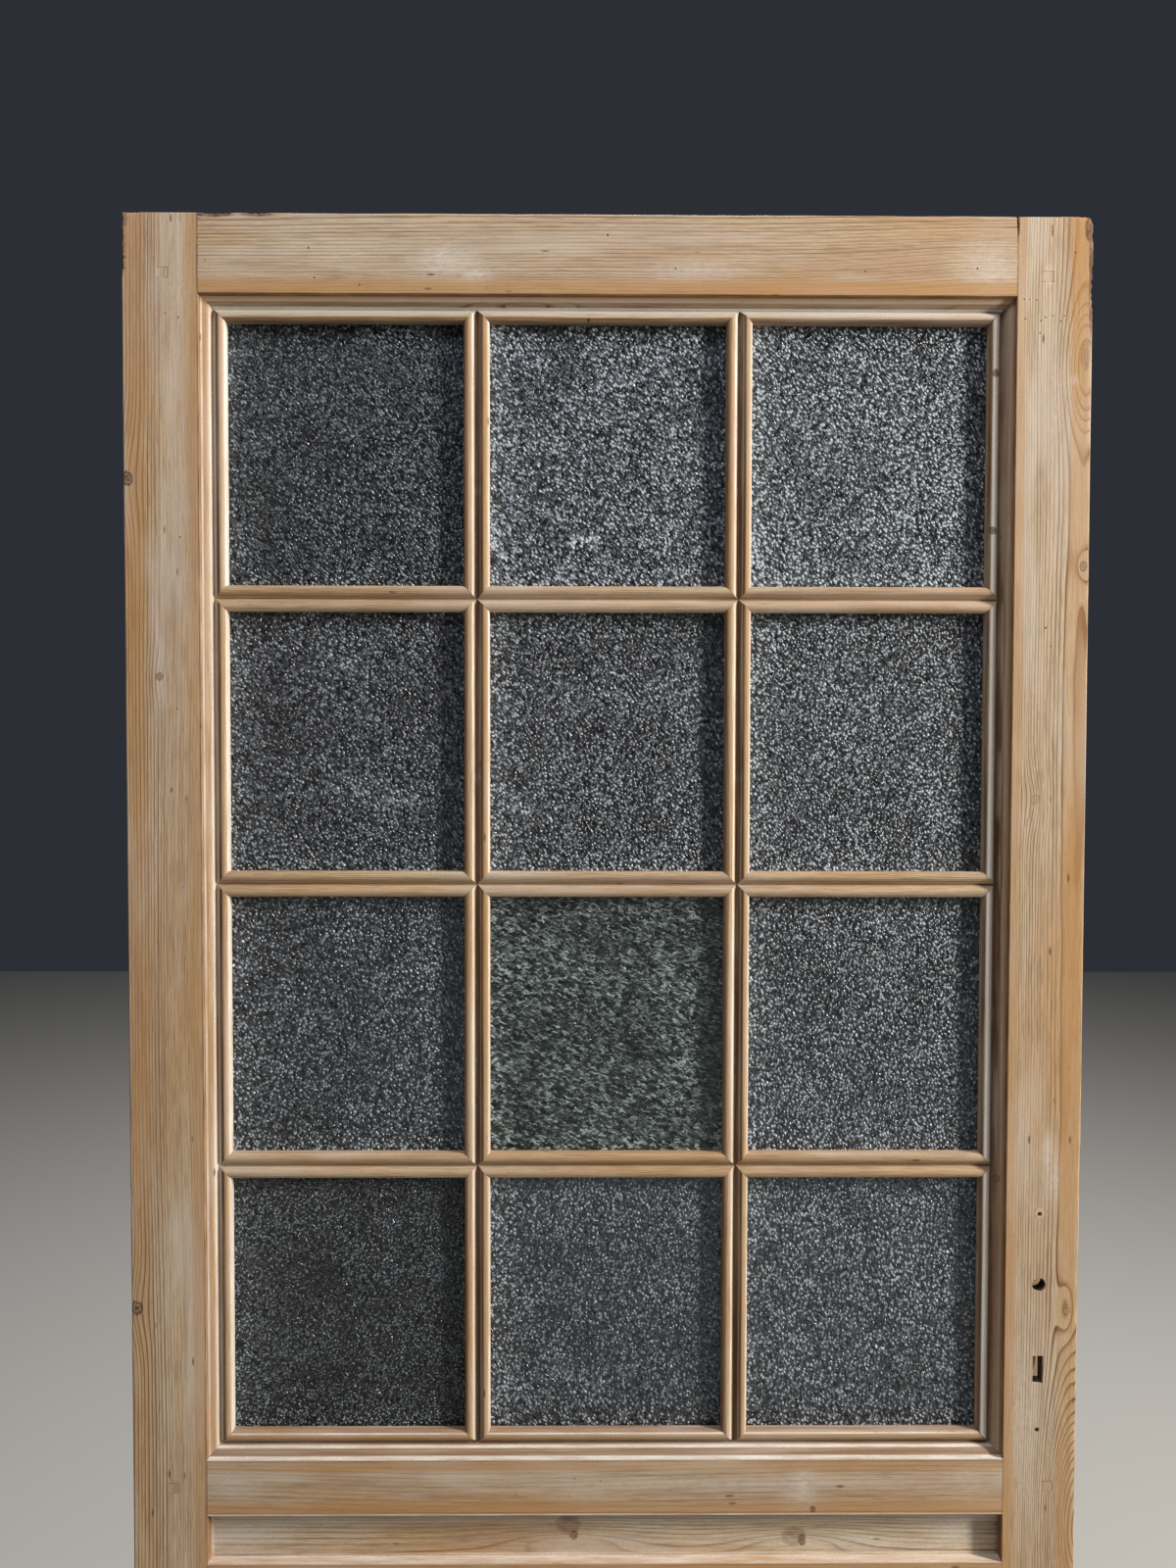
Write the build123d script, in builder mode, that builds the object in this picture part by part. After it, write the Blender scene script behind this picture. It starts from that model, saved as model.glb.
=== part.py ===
from build123d import *
import os

os.makedirs("parts", exist_ok=True)

# A half-glazed entrance door leaf in stripped pine. Millimetres.
# X runs from the hinge edge (0) to the lock edge, the front faces -Y, the foot is at Z = 0,
# and Y = 0 is the middle of the thickness.

# Leaf and framing
leaf_width = 900.0
leaf_height = 2040.0
leaf_thickness = 42.0
stile_flat = 70.0          # plain face of each stile
top_rail_flat = 73.0       # plain face of the top rail
lock_rail_flat = 54.0      # plain face of the rail under the glass
cross_rail_width = 60.0    # rail between the narrow panel and the lower panel
bottom_rail_width = 190.0
edge_round = 1.5           # worn roundness of the long outer arrises
edge_find = 0.01           # how near an edge must lie to be taken as one of these

# Glazed opening, measured between the plain faces round it
glazed_height = 1098.7
columns = 3
rows = 4

# Moulding worked on the edges round the glass, from the sight line outward
moulding_width = 22.2
rib_width = 7.8            # rounded inner rib
rib_crown_depth = 8.3      # front face down to the crown of the rib
rib_arris_depth = 9.0      # front face down to the rib's edge at the groove
rib_shoulder_depth = 10.2
rib_shoulder_width = 0.6
rib_drop_depth = 11.6      # where the rounded rib turns straight down to the glass
groove_half = 4.2          # inner slope of the V groove
groove_depth = 13.5        # front face down to the bottom of the V
band_inner_width = 15.2    # sight line to the inner edge of the outer band
band_inner_depth = 7.8
band_crown_width = 18.6
band_crown_depth = 5.7
step_foot_width = 21.8
step_depth = 4.8           # step down from the plain face to the band
glass_depth = 18.6         # front face down to the front of the glass
mitre_floor = 14.6         # depth to which the bars' mitred points are let in

# Glazing bars
bar_width = 2 * (rib_width + groove_half)
rebate = 8.0               # glass rebate, the same on bars, stiles and rails
bar_tongue = bar_width - 2 * rebate
bar_tenon = 10.0           # stub tenons of the bars
bar_tenon_thick = 12.0
bar_tenon_front = 24.5     # front face down to the bars' tenons
crossing_tenon = 3.0       # short stubs where a cross bar meets an upright bar

# Glass and the beads behind it
glass_thick = 4.0
glass_play = 1.5           # room between a pane and the sides of its rebate
bead_back_depth = 39.0     # front face down to the back of the bead
bead_back_width = 3.0      # the bead slopes from the rebate width to this

# Panels
panel_recess = 12.0        # plain face down to the face of the panel
panel_groove = 12.0        # depth of the groove that holds a panel
panel_play = 1.0           # room for the panel to move in its groove
frieze_opening = 47.0      # height of the narrow panel that shows

# Joints
tenon_thick = 14.0
tenon_inset = 2.0          # tenon kept inside a plain edge
tenon_clear_of_groove = 1.0
haunch_height = 20.0
haunch_length = 12.0
bottom_tenon_gap = 40.0    # between the two tenons of the bottom rail
peg_size = 9.6
peg_corner = 2.2
hairline = 0.2             # open line of the mitres

# Pegs: distance from the leaf's outer edge on the hinge side and on the lock side
peg_top = (37.8, 41.6)
peg_lock = (37.8, 28.0)
peg_plain = (37.8, 37.8)
peg_top_below = 55.0       # below the top of the leaf

# Holes left by the lock and its handle plates
backset = 38.0
spindle_height = 1036.8
spindle_diameter = 13.0
keyhole_height = 954.8     # middle of the squared slot
keyhole_width = 10.0
keyhole_length = 26.5
plate_screw_high = 1104.8  # the handle plates' screws pass right through
plate_screw_low = 896.3
plate_screw_diameter = 4.5
lock_case_width = 15.0
lock_case_depth = 60.0
lock_case_height = 170.0
lock_case_middle = 994.0
forend_width = 22.0
forend_height = 235.0
forend_depth = 3.0

# Values worked out from the sizes above
front = -leaf_thickness / 2
back = leaf_thickness / 2
middle_depth = leaf_thickness / 2
reach = 3 * leaf_thickness     # cutting outlines go right through the leaf
past = 1.0                     # cuts start and end this far outside what they cut
glazed_top = leaf_height - top_rail_flat
glazed_foot = glazed_top - glazed_height
sight_top = glazed_top - moulding_width
sight_foot = glazed_foot + moulding_width
sight_left = stile_flat + moulding_width
sight_right = leaf_width - sight_left
lock_rail_foot = glazed_foot - lock_rail_flat
cross_rail_top = lock_rail_foot - frieze_opening
cross_rail_foot = cross_rail_top - cross_rail_width
panel_thick = leaf_thickness - 2 * panel_recess
pane_width = (sight_right - sight_left - (columns - 1) * bar_width) / columns
pane_height = (sight_top - sight_foot - (rows - 1) * bar_width) / rows
bar_half = bar_width / 2
rebate_top = sight_top + rebate
rebate_foot = sight_foot - rebate
column_pitch = pane_width + bar_width
row_pitch = pane_height + bar_width
panes_left = [sight_left + i * column_pitch for i in range(columns)]
panes_top = [sight_top - i * row_pitch for i in range(rows)]
upright_bars = [left - bar_half for left in panes_left[1:]]
cross_bars = [top + bar_half for top in panes_top[1:]]
bar_stub_depths = [bar_tenon_front, bar_tenon_front + bar_tenon_thick]
tenon_depths = [middle_depth - tenon_thick / 2, middle_depth + tenon_thick / 2]
panel_depths = [panel_recess, leaf_thickness - panel_recess]
glass_back = glass_depth + glass_thick
bead_depth = bead_back_depth - glass_back
column_names = ["left", "middle", "right"] if columns == 3 else [str(i + 1) for i in range(columns)]
bar_names = ["left", "right"] if columns == 3 else [str(i + 1) for i in range(columns - 1)]

# Tenon heights of each rail, foot and top
groove_room = panel_groove + tenon_clear_of_groove
top_tenon = (glazed_top + tenon_inset, leaf_height - haunch_height)
lock_tenon = (lock_rail_foot + groove_room, glazed_foot - tenon_inset)
cross_tenon = (cross_rail_foot + groove_room, cross_rail_top - groove_room)
bottom_middle = (haunch_height + bottom_rail_width - groove_room) / 2
bottom_tenon_low = (haunch_height, bottom_middle - bottom_tenon_gap / 2)
bottom_tenon_high = (bottom_middle + bottom_tenon_gap / 2, bottom_rail_width - groove_room)
tenons = (top_tenon, lock_tenon, cross_tenon, bottom_tenon_low, bottom_tenon_high)

# Peg heights go with the tenons they hold
top_peg_height = leaf_height - peg_top_below
lock_peg_height = (lock_rail_foot + glazed_foot) / 2
cross_peg_height = (cross_tenon[0] + cross_tenon[1]) / 2
bottom_peg_heights = [(low + high) / 2 for low, high in (bottom_tenon_low, bottom_tenon_high)]
pegs = [(peg_top, top_peg_height), (peg_lock, lock_peg_height), (peg_plain, cross_peg_height)]
pegs += [(peg_plain, height) for height in bottom_peg_heights]


def moulded_section(origin, across, along):
    """Section of the worked edge in front of the glass; across points from the sight line outward."""
    with BuildSketch(Plane(origin=origin, x_dir=across, z_dir=along)) as section:
        with BuildLine():
            Line((0, glass_depth), (0, rib_drop_depth))
            Line((0, rib_drop_depth), (rib_shoulder_width, rib_shoulder_depth))
            ThreePointArc(
                (rib_shoulder_width, rib_shoulder_depth),
                (rib_width / 2, rib_crown_depth),
                (rib_width, rib_arris_depth),
            )
            Line((rib_width, rib_arris_depth), (rib_width + groove_half, groove_depth))
            Line((rib_width + groove_half, groove_depth), (band_inner_width, band_inner_depth))
            ThreePointArc(
                (band_inner_width, band_inner_depth),
                (band_crown_width, band_crown_depth),
                (step_foot_width, step_depth),
            )
            Line((step_foot_width, step_depth), (moulding_width, 0))
            Line((moulding_width, 0), (moulding_width, glass_depth))
            Line((moulding_width, glass_depth), (0, glass_depth))
        make_face()
    return section.sketch


def bar_section(origin, across, along):
    """Section of a glazing bar in front of the glass: two rounded ribs with a V groove between them."""
    shoulder = bar_half - rib_shoulder_width
    crown = bar_half - rib_width / 2
    with BuildSketch(Plane(origin=origin, x_dir=across, z_dir=along)) as section:
        with BuildLine():
            Line((-bar_half, glass_depth), (-bar_half, rib_drop_depth))
            Line((-bar_half, rib_drop_depth), (-shoulder, rib_shoulder_depth))
            ThreePointArc(
                (-shoulder, rib_shoulder_depth), (-crown, rib_crown_depth), (-groove_half, rib_arris_depth)
            )
            Line((-groove_half, rib_arris_depth), (0, groove_depth))
            Line((0, groove_depth), (groove_half, rib_arris_depth))
            ThreePointArc(
                (groove_half, rib_arris_depth), (crown, rib_crown_depth), (shoulder, rib_shoulder_depth)
            )
            Line((shoulder, rib_shoulder_depth), (bar_half, rib_drop_depth))
            Line((bar_half, rib_drop_depth), (bar_half, glass_depth))
            Line((bar_half, glass_depth), (-bar_half, glass_depth))
        make_face()
    return section.sketch


def outline(points):
    """Flat outline just before the front face; a negative extrusion of it runs toward the back."""
    with BuildSketch(Plane(origin=(0, front - past, 0), x_dir=(1, 0, 0), z_dir=(0, -1, 0))) as face:
        with BuildLine():
            Polyline(*points, close=True)
        make_face()
    return face.sketch


def block(x_range, depth_range, z_range):
    """Squared piece between two X values, two depths below the front face and two Z values."""
    low = (min(x_range), front + min(depth_range), min(z_range))
    high = (max(x_range), front + max(depth_range), max(z_range))
    size = [b - a for a, b in zip(low, high)]
    return Solid.make_box(*size, Plane(origin=low))


def peg_blank(x, z):
    """Square peg with softened corners, through the whole leaf."""
    with BuildPart() as blank:
        with BuildSketch(Plane(origin=(x, back, z), x_dir=(1, 0, 0), z_dir=(0, -1, 0))):
            RectangleRounded(peg_size, peg_size, peg_corner)
        extrude(amount=leaf_thickness)
    return blank.part


def peg_x(side, inset):
    return inset if side == 0 else leaf_width - inset


def stile_blank(side):
    """A stile with its worked edge along the glass, mortised and grooved; side 0 is the hinge side."""
    def across(inset):
        return inset if side == 0 else leaf_width - inset

    if side == 0:
        section = moulded_section((sight_left, front, glazed_top), (-1, 0, 0), (0, 0, -1))
    else:
        section = moulded_section((sight_right, front, glazed_foot), (1, 0, 0), (0, 0, 1))
    corners = [
        (across(stile_flat), glazed_foot + hairline),
        (across(sight_left), sight_foot + hairline),
        (across(sight_left), sight_top - hairline),
        (across(stile_flat), glazed_top - hairline),
    ]
    with BuildPart() as blank:
        extrude(section, amount=glazed_height)
        extrude(outline(corners), amount=-reach, mode=Mode.INTERSECT)
        for height in cross_bars:
            mouth = bar_half + past - hairline
            notch = [
                (across(sight_left + past), height - mouth),
                (across(sight_left - bar_half + hairline), height),
                (across(sight_left + past), height + mouth),
            ]
            extrude(outline(notch), amount=-(mitre_floor + past), mode=Mode.SUBTRACT)
        rebated_x = [across(stile_flat), across(sight_left - rebate)]
        add(block(rebated_x, [glass_depth, leaf_thickness], [rebate_foot, rebate_top]))
        add(block([across(0), across(stile_flat)], [0, leaf_thickness], [0, leaf_height]))
        outer = (across(0) - edge_find, across(0) + edge_find)
        fillet(blank.edges().filter_by(Axis.Z).filter_by_position(Axis.X, *outer), edge_round)

        # Mortises right through for the tenons, shallower ones for the haunches
        for foot, top in tenons:
            mortise_x = [across(-past), across(stile_flat + past)]
            add(block(mortise_x, tenon_depths, [foot, top]), mode=Mode.SUBTRACT)
        haunch_x = [across(stile_flat - haunch_length), across(stile_flat + past)]
        haunches = [
            (leaf_height - haunch_height - past, leaf_height + past),
            (-past, haunch_height + past),
            (bottom_tenon_low[1] - past, bottom_tenon_high[0] + past),
        ]
        for foot, top in haunches:
            add(block(haunch_x, tenon_depths, [foot, top]), mode=Mode.SUBTRACT)

        # Grooves for the panels, stub mortises for the cross bars, holes for the pegs
        groove_x = [across(stile_flat - panel_groove), across(stile_flat + past)]
        for foot, top in ((cross_rail_top, lock_rail_foot), (bottom_rail_width, cross_rail_foot)):
            groove_z = [foot - panel_groove, top + panel_groove]
            add(block(groove_x, panel_depths, groove_z), mode=Mode.SUBTRACT)
        stub_x = [across(sight_left - rebate - bar_tenon), across(sight_left - rebate + past)]
        for height in cross_bars:
            stub_z = [height - bar_tongue / 2, height + bar_tongue / 2]
            add(block(stub_x, bar_stub_depths, stub_z), mode=Mode.SUBTRACT)
        for insets, height in pegs:
            add(peg_blank(peg_x(side, insets[side]), height), mode=Mode.SUBTRACT)
    return blank.part


def tenon(side, foot, top, length):
    """Tenon from a rail's shoulder into the stile on one side."""
    shoulder = stile_flat if side == 0 else leaf_width - stile_flat
    tip = shoulder - length if side == 0 else shoulder + length
    return block([shoulder, tip], tenon_depths, [foot, top])


def moulded_rail(moulding_up):
    """Front moulding of a rail beside the glass, mitred at its ends and notched for the upright bars."""
    if moulding_up:
        section = moulded_section((stile_flat, front, sight_foot), (0, 0, -1), (1, 0, 0))
        flat = glazed_foot
        sight = sight_foot
        away = -1
    else:
        section = moulded_section((leaf_width - stile_flat, front, sight_top), (0, 0, 1), (-1, 0, 0))
        flat = glazed_top
        sight = sight_top
        away = 1
    corners = [
        (stile_flat + hairline, flat),
        (sight_left + hairline, sight),
        (sight_right - hairline, sight),
        (leaf_width - stile_flat - hairline, flat),
    ]
    with BuildPart() as blank:
        extrude(section, amount=leaf_width - 2 * stile_flat)
        extrude(outline(corners), amount=-reach, mode=Mode.INTERSECT)
        for x in upright_bars:
            mouth = bar_half + past - hairline
            notch = [
                (x - mouth, sight - away * past),
                (x, sight + away * (bar_half - hairline)),
                (x + mouth, sight - away * past),
            ]
            extrude(outline(notch), amount=-(mitre_floor + past), mode=Mode.SUBTRACT)
    return blank.part


def rail_body(foot, top):
    """Plain rail between the shoulders."""
    return block([stile_flat, leaf_width - stile_flat], [0, leaf_thickness], [foot, top])


def panel_groove_cut(edge, direction):
    """Groove along a rail's edge for a panel; direction is 1 where it goes up into the rail, -1 down."""
    groove_x = [stile_flat - past, leaf_width - stile_flat + past]
    return block(groove_x, panel_depths, [edge - direction * past, edge + direction * panel_groove])


def bar_mortise(x, z_range):
    """Cut for an upright bar's stub tenon in a rail."""
    return block([x - bar_tongue / 2, x + bar_tongue / 2], bar_stub_depths, z_range)


# Blanks with worked shapes
hinge_stile_blank = stile_blank(0)
lock_stile_blank = stile_blank(1)
top_moulding = moulded_rail(False)
lock_moulding = moulded_rail(True)
peg_blanks = [[peg_blank(peg_x(side, insets[side]), height) for side in (0, 1)] for insets, height in pegs]
rail_x = [stile_flat, leaf_width - stile_flat]

with BuildPart() as hinge_stile:
    add(hinge_stile_blank)

with BuildPart() as lock_stile:
    add(lock_stile_blank)
    lock_x = [leaf_width - forend_depth - lock_case_depth, leaf_width + past]
    case_depths = [middle_depth - lock_case_width / 2, middle_depth + lock_case_width / 2]
    case_z = [lock_case_middle - lock_case_height / 2, lock_case_middle + lock_case_height / 2]
    add(block(lock_x, case_depths, case_z), mode=Mode.SUBTRACT)
    forend_x = [leaf_width - forend_depth, leaf_width + past]
    forend_depths = [middle_depth - forend_width / 2, middle_depth + forend_width / 2]
    forend_z = [lock_case_middle - forend_height / 2, lock_case_middle + forend_height / 2]
    add(block(forend_x, forend_depths, forend_z), mode=Mode.SUBTRACT)
    hole_x = leaf_width - backset
    with BuildSketch(Plane(origin=(0, back + past, 0), x_dir=(1, 0, 0), z_dir=(0, -1, 0))):
        with Locations((hole_x, spindle_height)):
            Circle(spindle_diameter / 2)
        with Locations((hole_x, keyhole_height)):
            Rectangle(keyhole_width, keyhole_length)
        with Locations((hole_x, plate_screw_high), (hole_x, plate_screw_low)):
            Circle(plate_screw_diameter / 2)
    extrude(amount=leaf_thickness + 2 * past, mode=Mode.SUBTRACT)

with BuildPart() as top_rail:
    add(top_moulding)
    add(block(rail_x, [glass_depth, leaf_thickness], [rebate_top, glazed_top]))
    add(rail_body(glazed_top, leaf_height))
    for side in (0, 1):
        add(tenon(side, *top_tenon, stile_flat))
        add(tenon(side, leaf_height - haunch_height, leaf_height, haunch_length))
        add(peg_blanks[0][side], mode=Mode.SUBTRACT)
    for x in upright_bars:
        add(bar_mortise(x, [rebate_top - past, rebate_top + bar_tenon]), mode=Mode.SUBTRACT)

with BuildPart() as lock_rail:
    add(lock_moulding)
    add(block(rail_x, [glass_depth, leaf_thickness], [glazed_foot, rebate_foot]))
    add(rail_body(lock_rail_foot, glazed_foot))
    for side in (0, 1):
        add(tenon(side, *lock_tenon, stile_flat))
        add(peg_blanks[1][side], mode=Mode.SUBTRACT)
    for x in upright_bars:
        add(bar_mortise(x, [rebate_foot - bar_tenon, rebate_foot + past]), mode=Mode.SUBTRACT)
    add(panel_groove_cut(lock_rail_foot, 1), mode=Mode.SUBTRACT)

with BuildPart() as cross_rail:
    add(rail_body(cross_rail_foot, cross_rail_top))
    for side in (0, 1):
        add(tenon(side, *cross_tenon, stile_flat))
        add(peg_blanks[2][side], mode=Mode.SUBTRACT)
    add(panel_groove_cut(cross_rail_foot, 1), mode=Mode.SUBTRACT)
    add(panel_groove_cut(cross_rail_top, -1), mode=Mode.SUBTRACT)

with BuildPart() as bottom_rail:
    add(rail_body(0, bottom_rail_width))
    for side in (0, 1):
        add(tenon(side, *bottom_tenon_low, stile_flat))
        add(tenon(side, *bottom_tenon_high, stile_flat))
        add(tenon(side, 0, haunch_height, haunch_length))
        add(tenon(side, bottom_tenon_low[1], bottom_tenon_high[0], haunch_length))
        add(peg_blanks[3][side], mode=Mode.SUBTRACT)
        add(peg_blanks[4][side], mode=Mode.SUBTRACT)
    add(panel_groove_cut(bottom_rail_width, -1), mode=Mode.SUBTRACT)

# Flat panels held in the grooves
panel_reach = panel_groove - panel_play
panel_x = [stile_flat - panel_reach, leaf_width - stile_flat + panel_reach]
with BuildPart() as frieze_panel:
    add(block(panel_x, panel_depths, [cross_rail_top - panel_reach, lock_rail_foot + panel_reach]))

with BuildPart() as lower_panel:
    add(block(panel_x, panel_depths, [bottom_rail_width - panel_reach, cross_rail_foot + panel_reach]))

frame_parts = [
    ("hinge_stile", hinge_stile),
    ("lock_stile", lock_stile),
    ("top_rail", top_rail),
    ("lock_rail", lock_rail),
    ("cross_rail", cross_rail),
    ("bottom_rail", bottom_rail),
    ("frieze_panel", frieze_panel),
    ("lower_panel", lower_panel),
]

# Upright glazing bars run the whole height of the opening
bar_parts = []
for name, x in zip(bar_names, upright_bars):
    low = sight_foot + 2 * hairline
    high = sight_top - 2 * hairline
    pointed = [
        (x, low - bar_half),
        (x + bar_half, low),
        (x + bar_half, high),
        (x, high + bar_half),
        (x - bar_half, high),
        (x - bar_half, low),
    ]
    tongue_x = [x - bar_tongue / 2, x + bar_tongue / 2]
    section = bar_section((x, front, sight_foot - bar_half), (1, 0, 0), (0, 0, 1))
    with BuildPart() as upright_bar:
        extrude(section, amount=sight_top - sight_foot + bar_width)
        extrude(outline(pointed), amount=-(mitre_floor + past), mode=Mode.INTERSECT)
        for height in cross_bars:
            for hand in (-1, 1):
                mouth = bar_half + past - hairline
                notch = [
                    (x + hand * (bar_half + past), height - mouth),
                    (x + hand * hairline, height),
                    (x + hand * (bar_half + past), height + mouth),
                ]
                extrude(outline(notch), amount=-(mitre_floor + past), mode=Mode.SUBTRACT)
        add(block([x - bar_half, x + bar_half], [mitre_floor, glass_depth], [sight_foot, sight_top]))
        add(block(tongue_x, [glass_depth, leaf_thickness], [rebate_foot, rebate_top]))
        add(block(tongue_x, bar_stub_depths, [rebate_foot - bar_tenon, rebate_top + bar_tenon]))
        for height in cross_bars:
            stub_z = [height - bar_tongue / 2, height + bar_tongue / 2]
            for hand in (-1, 1):
                stub_x = [x + hand * (bar_tongue / 2 - crossing_tenon), x + hand * (bar_tongue / 2 + past)]
                add(block(stub_x, bar_stub_depths, stub_z), mode=Mode.SUBTRACT)
    bar_parts.append(("upright_bar_" + name, upright_bar))


def cross_bar_length(left, height):
    """One length of cross bar between two mitred points, with its tongue and stub tenons."""
    right = left + pane_width
    low = left + 2 * hairline
    high = right - 2 * hairline
    pointed = [
        (low - bar_half, height),
        (low, height + bar_half),
        (high, height + bar_half),
        (high + bar_half, height),
        (high, height - bar_half),
        (low, height - bar_half),
    ]
    left_tenon = bar_tenon if left == panes_left[0] else crossing_tenon
    right_tenon = bar_tenon if left == panes_left[-1] else crossing_tenon
    z_range = [height - bar_tongue / 2, height + bar_tongue / 2]
    section = bar_section((right + bar_half, front, height), (0, 0, 1), (-1, 0, 0))
    with BuildPart() as length:
        extrude(section, amount=pane_width + bar_width)
        extrude(outline(pointed), amount=-(mitre_floor + past), mode=Mode.INTERSECT)
        add(block([left, right], [mitre_floor, glass_depth], [height - bar_half, height + bar_half]))
        add(block([left - rebate, right + rebate], [glass_depth, leaf_thickness], z_range))
        add(block([left - rebate - left_tenon, right + rebate + right_tenon], bar_stub_depths, z_range))
    return length.part


# Cross bars are cut between the uprights and the stiles; the lengths of one row share a node
for row, height in enumerate(cross_bars):
    lengths = [cross_bar_length(left, height) for left in panes_left]
    with BuildPart() as cross_bar:
        for length in lengths:
            add(length)
    bar_parts.append(("cross_bars_" + str(row + 1), cross_bar))


def bead_strip(start, away, along, length, corners):
    """Sloped glazing bead in a rebate corner: away points to the glass, along runs down its length."""
    slope = [(0, 0), (rebate, 0), (bead_back_width, bead_depth), (0, bead_depth)]
    with BuildPart() as strip:
        with BuildSketch(Plane(origin=start, x_dir=away, z_dir=along)):
            with BuildLine():
                Polyline(*slope, close=True)
            make_face()
        extrude(amount=length)
        extrude(outline(corners), amount=-reach, mode=Mode.INTERSECT)
    return strip.part


def bead_frame(left, foot):
    """Four mitred beads round one pane, with an open hairline at each mitre."""
    right = left + pane_width
    top = foot + pane_height
    low_x = left - rebate
    high_x = right + rebate
    low_z = foot - rebate
    high_z = top + rebate
    y = front + glass_back
    gap = hairline
    return [
        bead_strip(
            (high_x, y, low_z), (0, 0, 1), (-1, 0, 0), high_x - low_x,
            [(low_x + gap, low_z), (high_x - gap, low_z), (right - gap, foot), (left + gap, foot)],
        ),
        bead_strip(
            (low_x, y, high_z), (0, 0, -1), (1, 0, 0), high_x - low_x,
            [(low_x + gap, high_z), (high_x - gap, high_z), (right - gap, top), (left + gap, top)],
        ),
        bead_strip(
            (low_x, y, low_z), (1, 0, 0), (0, 0, 1), high_z - low_z,
            [(low_x, low_z + gap), (low_x, high_z - gap), (left, top - gap), (left, foot + gap)],
        ),
        bead_strip(
            (high_x, y, high_z), (-1, 0, 0), (0, 0, -1), high_z - low_z,
            [(high_x, low_z + gap), (high_x, high_z - gap), (right, top - gap), (right, foot + gap)],
        ),
    ]


# Panes and their beads, row 1 at the top
glass_parts = []
overlap = rebate - glass_play
for row, top in enumerate(panes_top):
    for name, left in zip(column_names, panes_left):
        foot = top - pane_height
        pane_x = [left - overlap, left + pane_width + overlap]
        with BuildPart() as pane:
            add(block(pane_x, [glass_depth, glass_back], [foot - overlap, top + overlap]))
        strips = bead_frame(left, foot)
        with BuildPart() as beads:
            for strip in strips:
                add(strip)
        glass_parts.append(("pane_" + str(row + 1) + "_" + name, pane))
        glass_parts.append(("beads_" + str(row + 1) + "_" + name, beads))

# Pegs through the tenons, one node for each rail
peg_parts = []
for name, indices in (("top_rail", [0]), ("lock_rail", [1]), ("cross_rail", [2]), ("bottom_rail", [3, 4])):
    with BuildPart() as rail_pegs:
        for index in indices:
            for blank in peg_blanks[index]:
                add(blank)
    peg_parts.append((name + "_pegs", rail_pegs))

for name, built in frame_parts + bar_parts + glass_parts + peg_parts:
    built.part.label = name
    export_step(built.part, "parts/" + name + ".step")
    print(name, len(built.part.solids()), "solids")
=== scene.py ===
import math
from functools import partial
import bpy
import bmesh
import numpy as np
from mathutils import Matrix, Vector, noise


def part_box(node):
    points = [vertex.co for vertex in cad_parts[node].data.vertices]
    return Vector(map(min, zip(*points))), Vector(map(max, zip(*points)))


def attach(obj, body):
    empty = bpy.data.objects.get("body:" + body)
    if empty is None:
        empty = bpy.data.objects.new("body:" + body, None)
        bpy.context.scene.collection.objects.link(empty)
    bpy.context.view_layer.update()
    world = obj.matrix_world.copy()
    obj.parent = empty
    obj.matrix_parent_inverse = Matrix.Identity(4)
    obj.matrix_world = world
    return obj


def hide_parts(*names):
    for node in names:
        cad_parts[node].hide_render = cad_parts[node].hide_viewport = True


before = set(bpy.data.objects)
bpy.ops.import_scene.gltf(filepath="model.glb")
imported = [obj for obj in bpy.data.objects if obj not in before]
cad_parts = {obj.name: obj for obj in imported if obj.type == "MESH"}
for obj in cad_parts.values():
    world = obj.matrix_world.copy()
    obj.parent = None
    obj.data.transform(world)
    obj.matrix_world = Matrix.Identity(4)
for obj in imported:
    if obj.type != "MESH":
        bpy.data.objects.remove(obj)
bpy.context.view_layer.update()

mm = 0.001
scene = bpy.context.scene


def linear(code):
    # sRGB hex to linear colour
    parts = [int(code[i:i + 2], 16) / 255 for i in (1, 3, 5)]
    return [c / 12.92 if c <= 0.04045 else ((c + 0.055) / 1.055) ** 2.4 for c in parts] + [1.0]


# the setting that a node's mode goes to
modes = {
    "Math": "operation", "VectorMath": "operation", "Mix": "data_type", "MapRange": "interpolation_type",
    "VectorRotate": "rotation_type", "TexNoise": "noise_dimensions", "TexWhiteNoise": "noise_dimensions",
    "TexVoronoi": "feature",
}


def addNode(tree, kind, mode, *inputs, out=0, **settings):
    # inputs in their order, or one dictionary of them; hands back one output, or the node itself for None
    made = tree.nodes.new(kind if "Node" in kind else "ShaderNode" + kind)
    if mode:
        setattr(made, modes[kind], mode)
    for name, value in settings.items():
        if name == "stops":  # a ramp's places and greys
            ramp = made.color_ramp
            while len(ramp.elements) < len(value):
                ramp.elements.new(0.5)
            for element, (place, grey) in zip(ramp.elements, value):
                element.position = place
                element.color = (grey, grey, grey, 1)
        else:
            setattr(made, name, value)
    named = inputs[0] if inputs and isinstance(inputs[0], dict) else dict(enumerate(inputs))
    for key, value in named.items():
        if isinstance(value, bpy.types.NodeSocket):
            tree.links.new(value, made.inputs[key])
        else:
            made.inputs[key].default_value = value
    return made if out is None else made.outputs[out]


# ---- stage, light and camera

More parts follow.
